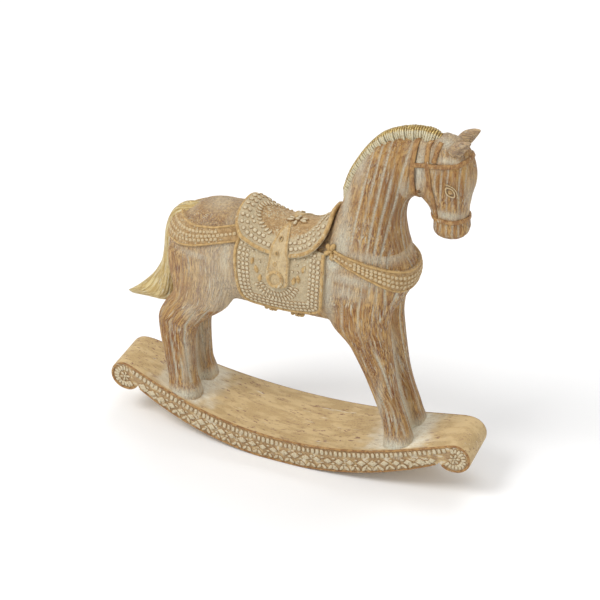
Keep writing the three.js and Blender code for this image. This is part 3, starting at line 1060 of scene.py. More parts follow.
@dataclass(frozen=True)
class FigureScale:
    """Turns side-view stations of the figure into millimetres.

    Args:
        height: hooves to the top of the mane.
        stations_high: the same height in station units.
        body_width: width of the barrel.
        stations_wide: the same width in station units.
        standing: height of the board's top under the hooves.
    """

    height: float = 192.5
    stations_high: float = 192.5
    body_width: float = 43.0
    stations_wide: float = 44.0
    standing: float = 24.52

    def side(self, rows: list | Array) -> Array:
        """Side-view points in millimetres.

        Args:
            rows: the points in station units.

        Returns:
            The points.
        """
        rows = np.asarray(rows, float) * self.height / self.stations_high
        rows[..., 1] += self.standing
        return rows

    def spot(self, x: float, z: float) -> Array:
        """One side-view point in millimetres."""
        return self.side([(x, z)])[0]

    def stations(self, rows: list | Array) -> Array:
        """Stations of top x, top z, bottom x, bottom z and half-width in millimetres.

        Args:
            rows: the stations in station units.

        Returns:
            The stations.
        """
        rows = np.asarray(rows, float).copy()
        rows[:, :4] *= self.height / self.stations_high
        rows[:, [1, 3]] += self.standing
        rows[:, 4] *= self.body_width / self.stations_wide
        return rows


TRUNK = [
    (-73, 106, -73, 84, 8), (-70, 110, -71, 72, 14), (-63, 115, -65, 68, 19), (-54, 120.5, -55, 66, 22),
    (-42, 122.5, -42, 66, 22.5), (-24, 121, -24, 66, 22), (-6, 118, -6, 66.3, 22), (12, 120, 12, 66.3, 22),
    (26, 125, 28, 66.8, 22.5), (38, 128, 42, 69, 22.5), (50, 125, 53, 75, 21), (59, 119, 60, 84, 17.5),
    (65, 114, 65, 94, 12), (68, 108.5, 67.5, 100, 6),
]
NECK = [
    (17, 122, 58, 82, 21), (22, 131, 64, 94, 20.5), (26, 141, 66.5, 107, 18.5), (29, 152, 62.5, 121, 15.5),
    (33, 163, 60, 135, 13.2), (39, 172, 61.5, 146, 12), (47, 180, 65, 151, 11.2),
    (57, 185, 70.5, 154.5, 10.5), (67, 187, 77, 160, 9.5), (78, 186.5, 84, 166, 8),
]
HEAD = [
    (80, 190, 68, 183, 4.5), (88, 187.5, 63, 174, 8.5), (93.5, 181, 63, 166, 10.2),
    (96.5, 173, 65, 158, 10.8), (97, 165, 68, 153, 10.4), (95.5, 158, 72, 149, 9.2),
    (94.5, 151, 74, 145, 8.2), (94.5, 144.5, 75.5, 141, 7.6), (95.6, 139, 75.5, 136, 7.9),
    (94.3, 134.7, 76.5, 133.2, 7.2), (90, 131.5, 80, 131, 4.6),
]
FORELEG = [
    (28, 100, 60, 100, 11), (24, 84, 59, 84, 10.5), (24.5, 71, 58, 72, 10), (35, 60, 59.2, 61, 9),
    (42, 48, 61.2, 48.5, 8), (47.5, 36, 63.5, 36.5, 7), (52.5, 24, 66.8, 24.5, 6.8),
    (56.5, 12, 71.2, 12.5, 7.2), (58.5, 3, 73.5, 3.5, 7.8), (59, -7, 75, -6.5, 8.2),
]
JOWL = [
    (71, 188, 58, 180, 6), (75, 182, 57, 170, 9), (77, 173, 60, 160, 10), (78, 164, 64, 154.5, 9.4),
    (78, 157, 70, 152.5, 5.5),
]
HINDLEG = [
    (-72, 96, -32, 96, 11), (-71, 80, -31.5, 77, 11), (-69, 68, -36, 63.5, 10.5),
    (-74.5, 58, -46, 54.5, 9.4), (-78.5, 49, -54, 46.5, 8.6), (-78, 38, -57, 37, 7.6),
    (-76, 24, -57, 24, 6.9), (-74, 11, -56.5, 11, 7), (-72.5, 2, -55, 2, 7.8), (-72.5, -7, -54, -7, 8.2),
]
FORE_AXIS = [
    (0, 66), (12, 64), (24, 61), (36, 55), (48, 51.5), (60, 47), (72, 43), (85, 42), (100, 43), (115, 43.5),
    (140, 44.5), (155, 46), (165, 47.5), (175, 49), (190, 51),
]
HIND_AXIS = [(0, -63.5), (24, -66.5), (37, -67.5), (48, -66), (58, -60), (66, -54), (80, -51), (122, -50)]
WASH_POOLS = [
    (-62, 1, 16, 4, 0.9), (66, 1, 16, 6, 1.0), (31, 122, 7, 18, 0.8), (35, 96, 14, 5, 0.6),
    (-34, 100, 5, 26, 0.7), (-46, 124, 14, 5, 0.55), (-64, 118, 8, 4, 0.6), (26, 95, 4, 26, 0.8),
    (48, 118, 24, 4, 0.6), (36, 104, 22, 4, 0.7), (72, 178, 10, 8, 0.6), (84, 147, 12, 3, 0.8),
    (-70, 112, 6, 6, 0.8), (36, 168, 5, 14, 0.7), (30, 145, 4, 16, 0.7), (-50, 98, 16, 3, 0.6),
    (60, 158, 4, 8, 0.6), (-55, 60, 6, 10, 0.5), (69, 172, 4, 15, 0.85), (81, 187, 6, 3, 0.8),
    (84, 179, 9, 2.5, 0.7), (70, 190, 9, 3, 0.7), (-46, 112, 14, 8, 0.3), (27, 112, 6, 9, 1.0),
    (95, 158, 2.5, 14, 0.5), (77, 158, 3, 8, 0.5), (-60, 24, 2.5, 20, 0.6), (56, 26, 2.5, 18, 0.6),
]
# Darkened patches: x, z, width, height, strength. The ones on the neck front and low chest are painted shade.
# The others are stain streaks on the legs and head, plus a darker patch under the belly.
STAIN_AND_SHADE_POOLS = [
    (55, 152, 6, 24, 0.8), (57, 122, 10, 6, 0.5), (87, 165, 8, 10, 0.5), (89, 133, 9, 3, 0.5),
    (-70, 30, 4, 22, 0.55), (-52, 40, 3, 20, 0.4), (-46, 66, 10, 6, 0.3), (64, 34, 3, 26, 0.5),
    (48, 58, 5, 16, 0.35),
]


def rings_of(stations: Array, segments: int, y: float, squareness: float) -> Array:
    """Cross-sections through side-view stations.

    Args:
        stations: top x, top z, bottom x, bottom z and half-width, row by row.
        segments: points on each cross-section.
        y: the middle of the cross-sections.
        squareness: two for an ellipse, more for a squarer section.

    Returns:
        The rings' points.
    """
    top, low, half_width = stations[:, 0:2], stations[:, 2:4], stations[:, 4]
    middle, half = (top + low) / 2, (top - low) / 2
    side, rise = rounded(circle(turns(segments)), 2 / squareness).T
    x = middle[:, :1] + half[:, :1] * rise
    z = middle[:, 1:] + half[:, 1:] * rise
    return np.stack([x, y + half_width[:, None] * side, z], 2)


def fused(shells: list[Shell], voxel: float, passes: int) -> Shell:
    """Melts closed shells into one skin and softens where they meet.

    Args:
        shells: the shells.
        voxel: size of the new skin's faces.
        passes: how often it is softened.

    Returns:
        The new skin.
    """
    raw = mesh_object("raw_form", joined(shells))
    modifier = raw.modifiers.new("remesh", "REMESH")
    modifier.mode = "VOXEL"
    modifier.voxel_size = voxel * MM
    mesh = evaluated(raw)
    bpy.data.objects.remove(raw)
    points = vertices(mesh)
    faces = [tuple(p.vertices) for p in mesh.polygons]
    edges = np.zeros(len(mesh.edges) * 2, np.int64)
    mesh.edges.foreach_get("vertices", edges)
    edges = edges.reshape(-1, 2)
    count = len(points)
    ends = np.concatenate([edges[:, 0], edges[:, 1]])
    others = np.concatenate([edges[:, 1], edges[:, 0]])
    valence = np.maximum(np.bincount(ends, minlength=count), 1)
    for _ in range(passes):
        mean = np.stack([np.bincount(ends, points[others, k], count) / valence for k in range(3)], 1)
        points = points + 0.6 * (mean - points)
    return Shell(points, faces)


def vertex_normals(shell: Shell) -> Array:
    """Outward normals at a shell's vertices.

    Args:
        shell: a shell of four-sided faces.

    Returns:
        A unit normal at each vertex.
    """
    quads = np.array([f if len(f) == 4 else (*f, f[2]) for f in shell.faces])
    corner = shell.points[quads]
    face = np.cross(corner[:, 2] - corner[:, 0], corner[:, 3] - corner[:, 1])
    total = np.zeros_like(shell.points)
    for k in range(3):
        total[:, k] = sum(np.bincount(quads[:, c], face[:, k], len(total)) for c in range(4))
    return unit(total)


@dataclass
class HorseBody:
    """The horse without its tack and hair.

    Args:
        figure: the figure's scale.
        leg_spacing: between the middles of a pair of legs.
        hoof_flare: how far the cast widens where a hoof meets the board.
        voxel: size of the skin's faces.
        gouge_depth: depth of a carved groove.
        body_pitch: between the grooves.
        head_pitch: between the grooves of the head.
    """

    figure: FigureScale
    leg_spacing: float = 21.5
    hoof_flare: float = 1.6
    voxel: float = 0.85
    gouge_depth: float = 0.9
    body_pitch: float = 4.3
    head_pitch: float = 3.1

    # Forward of this place and over this height above the board, the grain is the head's
    HEAD_START = 67
    HEAD_LOW = 128

    def loft(self, rows: list, y: float = 0.0, squareness: float = 2.2, swell: float = 0.0) -> Shell:
        """A limb through its stations.

        Args:
            rows: its stations.
            y: its middle.
            squareness: of its sections.
            swell: how much thicker than the stations.

        Returns:
            The limb.
        """
        stations = spline(self.figure.stations(rows), len(rows) * 6)
        if swell:
            way = unit(stations[:, 0:2] - stations[:, 2:4])
            stations[:, 0:2] += way * swell
            stations[:, 2:4] -= way * swell
            stations[:, 4] += swell
        return tube(rings_of(stations, 40, y, squareness))

    def shells(self) -> list[Shell]:
        """The overlapping forms that the body is melted from.

        Returns:
            Trunk, neck, head, jowl and legs, with the wall between each pair of legs.
        """
        half = self.leg_spacing / 2
        forms = [self.loft(TRUNK, squareness=2.15), self.loft(NECK, squareness=2.1),
                 self.loft(HEAD, squareness=2.3), self.loft(JOWL)]
        for leg, back, front in ((FORELEG, 4.5, 4.5), (HINDLEG, 4.5, 5)):
            for y in (half, -half):
                forms.append(self.loft(leg, y, 2.5))
                flare = self.hoof_flare
                foot = [(a - g * flare, b, c + g * flare, d, w + g * flare)
                        for (a, b, c, d, w), g in zip(leg[-3:], (-0.5, 0.5, 1.0))]
                forms.append(self.loft(foot, y, 2.6))
            web = [(a + back, b, c - front, d, 9) for a, b, c, d, _ in leg]
            forms.append(self.loft(web, 0.0, 3.0))
        return forms

    def in_head(self, points: Array) -> Array:
        """Which places lie on the head."""
        return (points[:, 0] > self.HEAD_START) & (points[:, 2] > self.figure.standing + self.HEAD_LOW)

    def flow(self, points: Array) -> Array:
        """Coordinates that follow the carved grain.

        Args:
            points: places on the body.

        Returns:
            Two coordinates across the grain and the third along it.
        """
        fore = self.figure.side([(x, z) for z, x in FORE_AXIS])
        hind = self.figure.side([(x, z) for z, x in HIND_AXIS])
        x, y, z = points.T
        front = np.interp(z, fore[:, 1], fore[:, 0])
        back = np.interp(z, hind[:, 1], hind[:, 0])
        share = np.clip((x + 24) / 24, 0, 1)
        axis = back + (front - back) * share
        axis = np.where(self.in_head(points), 82.0, axis)
        return np.stack([x - axis, y, z], 1)

    def cuts(self, across: Array, along: Array, pitch: Array) -> Array:
        """Parallel cuts that begin and end along their way.

        Args:
            across: distance across the grain.
            along: distance along it.
            pitch: between the cuts.

        Returns:
            One in the middle of a cut, falling to zero beside it.
        """
        wander = lattice_noise(np.stack([across / 14, along / 46, pitch], 1), 8) - 0.5
        phase = across / pitch + 1.6 * wander
        total = np.zeros(len(across))
        for times, share, width, length in ((1.0, 1.0, 0.27, 34.0), (2.6, 0.4, 0.3, 15.0)):
            lane = np.floor(phase * times)
            line = np.clip(1 - np.abs(phase * times - lane - 0.5) / width, 0, 1)
            key = np.stack([lane * 1.37 + 0.5, np.full(len(along), times), along / length], 1)
            strength = np.clip((lattice_noise(key, 4) - 0.2) / 0.3, 0, 1)
            total = np.maximum(total, share * strength * line * line * (3 - 2 * line))
        return total

    def grooves(self, points: Array, normals: Array) -> tuple[Array, Array]:
        """The long cuts of the carver's gouge.

        Args:
            points: places on the body.
            normals: outward normals there.

        Returns:
            Depth of the cuts, and how much whitewash they hold.
        """
        flow = self.flow(points)
        x, z = points[:, 0], points[:, 2]
        height = z - self.figure.standing
        head = self.in_head(points)
        pitch = np.where(head, self.head_pitch, self.body_pitch)
        sideways = np.clip((np.abs(normals[:, 1]) - np.abs(normals[:, 0])) * 3 + 0.5, 0, 1)
        total = sideways * self.cuts(flow[:, 0], z, pitch)
        total += (1 - sideways) * self.cuts(flow[:, 1] + 300, z, pitch)
        barrel = np.exp(-((x + 6) / 30) ** 2) * (height > 64)
        rump = np.clip((-x - 24) / 16, 0, 1) * np.clip((height - 62) / 12, 0, 1)
        zone = (1 - 0.75 * barrel) * (1 - 0.65 * rump) * np.where(head, 0.6, 1.0)
        zone = zone * np.clip(1.25 - 1.1 * np.abs(normals[:, 2]), 0, 1) * np.clip(height / 12, 0.25, 1)
        return self.gouge_depth * total * zone, total ** 1.3 * (0.25 + 0.75 * zone)

    def pools(self, points: Array) -> Array:
        """How much whitewash has pooled at each place, negative where stain or painted shade lies.

        Args:
            points: places on the body.

        Returns:
            From about -1 to about 1.
        """
        wash, stain = np.zeros(len(points)), np.zeros(len(points))
        for table, total in ((WASH_POOLS, wash), (STAIN_AND_SHADE_POOLS, stain)):
            for x, z, wide, high, strength in table:
                centre = self.figure.spot(x, z)
                away = ((points[:, 0] - centre[0]) / wide) ** 2 + ((points[:, 2] - centre[1]) / high) ** 2
                np.maximum(total, strength * np.exp(-away), out=total)
        height = points[:, 2] - self.figure.standing
        between = np.exp(-(points[:, 1] / 4.0) ** 2) * np.clip((70 - height) / 12, 0, 1)
        flank = 0.5 * np.exp(-((points[:, 0] + 34) / 24) ** 2) * (height > 62) * (height < 112)
        wash = np.maximum(np.maximum(wash, flank), 0.9 * between)
        # Negative values carry the stain streaks and the painted shade on the neck front and chest.
        return np.where(wash > stain, wash, -stain)

    def build(self) -> tuple[Shell, Shell]:
        """Makes the body.

        Returns:
            The smooth skin that the tack is laid on, and the carved one.
        """
        smooth = fused(self.shells(), self.voxel, 10)
        normals = vertex_normals(smooth)
        smooth.points = smooth.points + normals * 0.15
        depth, self.cut = self.grooves(smooth.points, normals)
        facet = lattice_noise(self.flow(smooth.points) / np.array([4.5, 4.5, 45.0]), 3)
        depth = depth + 0.4 * facet * np.clip(1.2 - np.abs(normals[:, 2]), 0, 1)
        return smooth, Shell(smooth.points - normals * depth[:, None], smooth.faces)

    def dress(self) -> Shell:
        """Builds the body's piece.

        Returns:
            The smooth skin that the tack is laid on.
        """
        smooth, carved = self.build()
        piece = mesh_object("horse_body", carved, self.flow(carved.points),
                            self.pools(carved.points), self.cut)
        finished(piece, Finish.CARVED, stands_for=True)
        return smooth


# The board


@dataclass
class RockerBoard:
    """The curved board with a scroll at either end and carving along both edges.

    Args:
        repeat: the nodes that repeat the carving.
        scroll_spacing: between the scrolls' middles.
        scroll_radius: of a scroll.
        thickness: of the board in its middle.
        underside_radius: of the arc that it rocks on.
        top_radius: of the arc of its top.
        middle_width: its width in the middle.
        end_width: its width at the scrolls.
        rest_flat: length of the flat that it rests on.
        scroll_drop: how far its top falls short of the arc at the scrolls.
        rim_height: of the plain rim along the top.
        lower_rim_height: of the plain rim along the underside.
        rim_relief: how far both stand proud.
        side_step: size of the triangles on the edges.
        flute_pitch: between the upright flutes.
        flute_size: length, width and height of a flute.
        diamond_pitch: between the diamonds.
        diamond_size: length, width and height of a diamond.
        leaf_size: length, width and height of a leaf in the lower row.
        leaf_apart: from a pair's middle to either leaf.
        leaf_lean: how far a leaf of a pair is turned, in degrees.
        sprig_size: length, width and height of a small leaf between the diamonds.
        rosette_radius: of the flower in each scroll.
        edge_rounding: of the board's long edges.
    """

    repeat: RepeatNodes
    scroll_spacing: float = 200.0
    scroll_radius: float = 9.24
    thickness: float = 16.7
    underside_radius: float = 213.4
    top_radius: float = 253.3
    middle_width: float = 47.5
    end_width: float = 29.4
    rest_flat: float = 26.0
    scroll_drop: float = 1.8
    rim_height: float = 1.5
    lower_rim_height: float = 1.2
    rim_relief: float = 0.6
    side_step: float = 1.8
    flute_pitch: float = 2.7
    flute_size: Triple = (4.1, 2.35, 0.75)
    diamond_pitch: float = 6.5
    diamond_size: Triple = (6.5, 4.9, 0.85)
    leaf_size: Triple = (4.7, 2.6, 0.8)
    leaf_apart: float = 1.5
    leaf_lean: float = 50.0
    sprig_size: Triple = (2.9, 1.6, 0.6)
    rosette_radius: float = 2.6
    edge_rounding: float = 0.7

    # Middles of the hooves along the board
    HOOVES = (-63.5, 66.5)

    def __post_init__(self) -> None:
        """Works out the scrolls' place."""
        self.scroll_x = self.scroll_spacing / 2
        self.floor = self.underside(np.array(self.rest_flat / 2))
        self.shoulder = self.scroll_x - self.scroll_radius * 0.35
        self.shoulder_turn = math.acos(-0.35)
        drop = self.scroll_radius * math.sin(self.shoulder_turn)
        self.scroll_z = float(self.top(np.array(self.shoulder))) - drop

    def top(self, x: Array) -> Array:
        """Height of the board's top.

        Args:
            x: places along the board.

        Returns:
            The height at each place.
        """
        fall = np.maximum(0, np.abs(x) / (self.scroll_spacing / 2) - 0.7) / 0.3
        arc = self.top_radius - np.sqrt(self.top_radius ** 2 - x * x)
        return self.thickness + arc - self.scroll_drop * fall * fall

    def underside(self, x: Array) -> Array:
        """Height of the arc that the board rocks on."""
        return self.underside_radius - np.sqrt(self.underside_radius ** 2 - x * x)

    def half_width(self, x: Array) -> Array:
        """Half the board's width."""
        share = np.minimum(np.abs(x) / (self.scroll_spacing / 2), 1)
        return (self.end_width + (self.middle_width - self.end_width) * (1 - share * share)) / 2

    def half_outline(self) -> Array:
        """Half of the side view, from the middle of the top to the middle of the underside.

        Returns:
            The outline's points.
        """
        x = np.linspace(0, self.shoulder, 110)
        upper = np.stack([x, self.top(x)], 1)
        turn = np.linspace(self.shoulder_turn, -math.pi * 0.86, 60)[1:]
        scroll = np.stack([self.scroll_x + self.scroll_radius * np.cos(turn),
                           self.scroll_z + self.scroll_radius * np.sin(turn)], 1)
        notch = self.scroll_x - self.scroll_radius * 0.98
        x = np.linspace(notch, self.rest_flat / 2, 90)
        lower = np.stack([x, self.underside(x)], 1)
        return np.vstack([upper, scroll, lower, [[0, self.floor]]])

    def edge_line(self, depth: float, reach: float = math.pi * 1.42, count: int = 260) -> Array:
        """A line below the top's edge that goes on round the scroll.

        Args:
            depth: how far inside the outline.
            reach: how far round the scroll.
            count: how many points on either part.

        Returns:
            The line from the middle of the board to its end in the scroll.
        """
        x = np.linspace(0, self.shoulder, count)
        lean = np.arcsin(x / self.top_radius)
        first = np.stack([x - depth * np.sin(lean), self.top(x) - depth * np.cos(lean)], 1)
        turn = self.shoulder_turn - np.linspace(0, reach, count)[1:]
        radius = self.scroll_radius - depth
        second = np.stack([self.scroll_x + radius * np.cos(turn), self.scroll_z + radius * np.sin(turn)], 1)
        return np.vstack([first, second])

    def slab(self) -> Shell:
        """The board with rounded long edges.

        Returns:
            The board as one closed shell.
        """
        right = self.half_outline()
        left = right[1:-1][::-1] * np.array([-1, 1])
        outline = np.vstack([right, left])
        outline[:, 1] -= self.floor
        inward = moved_in(outline, -1.0) - outline
        rounding = self.edge_rounding
        quarter = np.linspace(math.pi / 2, 0, 5)
        steps = [(rounding * (1 - math.cos(t)), -rounding * (1 - math.sin(t))) for t in quarter]
        columns = [(inset, y, 1.0) for inset, y in steps]
        columns += [(0.0, -rounding, share) for share in np.linspace(1, -1, 30)[1:-1]]
        columns += [(inset, y, -1.0) for inset, y in steps[::-1]]
        rings = []
        for inset, back, share in columns:
            flat = outline + inward * inset
            flat[:, 1] = np.maximum(flat[:, 1], 0)
            y = (self.half_width(flat[:, 0]) + back) * share
            rings.append(np.stack([flat[:, 0], y, flat[:, 1]], 1))
        body = tube(np.array(rings))
        size = len(outline)
        kept = [face for face in body.faces if max(face) < size * len(columns)]
        shell = Shell(body.points[:size * len(columns)], kept)
        for ring, sign in ((0, 1.0), (len(columns) - 1, -1.0)):
            self.close_side(shell, ring * size, size, sign)
        return shell

    def close_side(self, shell: Shell, first: int, size: int, sign: float) -> None:
        """Closes one edge of the board with small triangles that follow its bow.

        Args:
            shell: the board, which receives the triangles.
            first: number of the first point of the ring to close.
            size: how many points the ring has.
            sign: which edge.
        """
        ring = shell.points[first:first + size]
        flat = ring[:, [0, 2]]
        x, z = np.meshgrid(np.arange(flat[:, 0].min(), flat[:, 0].max(), self.side_step),
                           np.arange(flat[:, 1].min(), flat[:, 1].max(), self.side_step))
        grid = np.stack([x.ravel(), z.ravel()], 1)
        inside = np.zeros(len(grid), bool)
        near = np.full(len(grid), np.inf)
        for a, b in zip(flat, np.roll(flat, -1, 0)):
            spans = (a[1] > grid[:, 1]) != (b[1] > grid[:, 1])
            rise = b[1] - a[1] if abs(b[1] - a[1]) > 1e-12 else 1e-12
            crossing = a[0] + (grid[:, 1] - a[1]) * (b[0] - a[0]) / rise
            inside ^= spans & (grid[:, 0] < crossing)
            near = np.minimum(near, np.hypot(*(grid - a).T))
        grid = grid[inside & (near > self.side_step * 0.45)]
        corners = [Vector(p) for p in np.vstack([flat, grid])]
        edges = [(i, (i + 1) % size) for i in range(size)]
        found, _, faces, origins, _, _ = delaunay_2d_cdt(corners, edges, [list(range(size))], 1, 1e-7)
        number, extra, start = [], [], len(shell.points)
        for place, origin in zip(found, origins):
            if origin and min(origin) < size:
                number.append(first + min(origin))
            else:
                number.append(start + len(extra))
                extra.append((place[0], sign * float(self.half_width(np.array(place[0]))), place[1]))
        shell.points = np.vstack([shell.points, np.array(extra)])
        for face in faces:
            named = tuple(number[i] for i in face)
            shell.faces.append(named[::-1] if sign > 0 else named)

    def halves(self) -> list[tuple["EdgeChart", Array]]:
        """Both edges' drawing surfaces, each with what turns a drawing to either half of the board."""
        return [(EdgeChart(self, sign), np.array([mirror, 1])) for sign in (1, -1) for mirror in (1, -1)]

    def rims(self) -> list[Shell]:
        """The plain rims along the top and the underside, on both edges.

        Returns:
            The rims.
        """
        bars = []
        for sign in (1, -1):
            chart = EdgeChart(self, sign)
            half = self.edge_line(self.rim_height * 0.5 + 0.2)
            line = np.vstack([half[::-1] * np.array([-1, 1]), half[1:]])
            places, normals = chart.lay(even(line, 0.9))
            bars.append(sweep(places, normals, self.rim_height, self.rim_relief, sink=0.5))
            x = np.linspace(-1, 1, 160) * (self.scroll_x - self.scroll_radius * 1.1)
            low = np.maximum(self.underside(x), self.floor) + self.lower_rim_height * 0.55
            places, normals = chart.lay(np.stack([x, low], 1))
            bars.append(sweep(places, normals, self.lower_rim_height, self.rim_relief, sink=0.5))
        return bars

    def flutes(self) -> Guides:
        """Upright flutes below the top rim, which turn into the scrolls' petals.

        Returns:
            The flutes' guides.
        """
        middle = self.edge_line(self.rim_height + 0.35 + self.flute_size[0] / 2)
        steps = travelled(self.edge_line(self.rim_height))
        number = int(steps[-1] / self.flute_pitch)
        wanted = (np.arange(number) + 0.5) * steps[-1] / number
        drawn = read_at(wanted, steps, middle)
        ways = read_at(wanted, steps, tangents(middle))
        ways = np.stack([-ways[:, 1], ways[:, 0]], 1)
        in_scroll = drawn[:, 0] > self.shoulder - 1
        rows = []
        for chart, flip in self.halves():
            row = chart.guides(drawn * flip, ways * flip, self.flute_size)
            row.sizes[in_scroll, 1] *= 0.92
            rows.append(row)
        return Guides.joined(rows)

    def diamond_depth(self) -> float:
        """How far below the top the diamonds' middles lie."""
        return self.rim_height + self.flute_size[0] + 0.9 + self.diamond_size[1] / 2

    def diamonds(self) -> Guides:
        """The row of diamonds below the flutes."""
        return self.row(self.diamond_depth(), self.diamond_size, 0.5)

    def sprigs(self) -> Guides:
        """Small leaves between the diamonds, above and below their middles.

        Returns:
            The leaves' guides.
        """
        depth, half = self.diamond_depth(), self.diamond_size[1] * 0.36
        return Guides.joined([self.row(depth - half, self.sprig_size, 1.0),
                              self.row(depth + half, self.sprig_size, 1.0)])

    def row(self, depth: float, size: Triple, phase: float) -> Guides:
        """A row of shapes at a depth below the top, on both edges.

        Args:
            depth: how far below the top.
            size: length, width and height of a shape.
            phase: share of a step from the board's middle to the first shape.

        Returns:
            The row's guides.
        """
        last = self.scroll_x - self.scroll_radius * 1.2
        x = np.arange(phase * self.diamond_pitch, last, self.diamond_pitch)
        turn = np.arcsin(x / self.top_radius)
        z = self.top(x) - depth
        keep = z - size[1] * 0.4 > self.underside(x) + self.lower_rim_height
        drawn, ways = np.stack([x, z], 1)[keep], circle(turn)[keep]
        return Guides.joined([chart.guides(drawn * flip, ways * flip, size)
                              for chart, flip in self.halves()])

    def leaves(self) -> Guides:
        """The row of paired leaves above the lower rim, each pair opening downwards.

        Returns:
            The leaves' guides.
        """
        last = self.scroll_x - self.scroll_radius * 1.15
        x = np.arange(0, last, self.diamond_pitch)
        base = np.maximum(self.underside(x), self.floor) + self.lower_rim_height + 1.9
        turn = np.arctan(x / np.sqrt(self.underside_radius ** 2 - x * x))
        rows = []
        for chart, flip in self.halves():
            for side in (1, -1):
                drawn = np.stack([x, base], 1) + side * self.leaf_apart * circle(turn)
                ways = circle(turn - side * math.radians(self.leaf_lean))
                rows.append(chart.guides(drawn * flip, ways * flip, self.leaf_size))
        return Guides.joined(rows)

    def rosettes(self) -> Guides:
        """The small flowers in the middle of the scrolls.

        Returns:
            The petals' guides.
        """
        radius = self.rosette_radius
        spokes = circle(np.radians(np.arange(0, 360, 60) + 15))
        rows = []
        for chart, flip in self.halves():
            centre = np.array([self.scroll_x, self.scroll_z]) * flip
            petal = (radius * 1.3, radius * 0.8, 0.8)
            rows.append(chart.guides(centre + spokes * radius * 0.8, spokes, petal))
            rows.append(chart.guides(centre[None], spokes[:1], (radius * 0.75, radius * 0.75, 1.0)))
        return Guides.joined(rows)

    def pools(self, points: Array) -> Array:
        """Whitewash round the hooves on the board's top, and blotches on its edges.

        Args:
            points: places on the board.

        Returns:
            From -0.6 for stain to about 1 for whitewash.
        """
        total = np.zeros(len(points))
        for x in self.HOOVES:
            rough = 1.25 - 0.5 * lattice_noise(points / 3.4, 6)
            spread = np.abs(points[:, :2] - (x, 0)) * rough[:, None] / (16, 22.5)
            away = spread[:, 0] ** 4 + spread[:, 1] ** 4
            total = np.maximum(total, np.exp(-away))
        top = self.top(points[:, 0]) - self.floor
        to_edge = self.half_width(points[:, 0]) - np.abs(points[:, 1])
        total *= np.clip(to_edge / 2.0, 0, 1) * (points[:, 2] > top - 1.0)
        mottle = lattice_noise(points / np.array([3.0, 3.0, 2.0]), 9)
        return np.where(to_edge < 0.05, np.where(mottle > 0.62, 0.6, -0.6), total)

    def dress(self) -> None:
        """Builds the board's pieces."""
        slab, rims = self.slab(), joined(self.rims())
        board = mesh_object("rocker_board", slab, slab.points[:, [1, 2, 0]], self.pools(slab.points))
        finished(board, Finish.BOARD)
        finished(mesh_object("board_rims", rims, rims.points[:, [1, 2, 0]]), Finish.STRAP)
        for name, motif, guides in (("board_flutes", Motif.FLUTE, self.flutes()),
                                    ("board_diamonds", Motif.DIAMOND, self.diamonds()),
                                    ("board_leaves", Motif.PETAL, self.leaves()),
                                    ("board_sprigs", Motif.ALMOND, self.sprigs()),
                                    ("scroll_rosettes", Motif.PETAL, self.rosettes())):
            self.repeat.run(name, motif.shell(), guides, Finish.STUD)


class EdgeChart(Chart):
    """The drawing surface on one edge of the board."""

    def __init__(self, board: RockerBoard, sign: float) -> None:
        """Keeps the board and which edge."""
        self.board, self.sign = board, sign

    def at(self, a: float, b: float) -> tuple[Array, Array]:
        """Where a side-view point lies on the edge.

        Args:
            a: place along the board.
            b: height in the board's own drawing.

        Returns:
            The place and the normal there.
        """
        half = float(self.board.half_width(np.array(a)))
        share = min(abs(a) / self.board.scroll_x, 1)
        spread = self.board.middle_width - self.board.end_width
        slope = -spread * a / self.board.scroll_x ** 2 if share < 1 else 0.0
        normal = np.array([-slope, self.sign, 0.0])
        return (np.array([a, half * self.sign, b - float(self.board.floor)]),
                normal / np.linalg.norm(normal))


# The saddle and its blanket


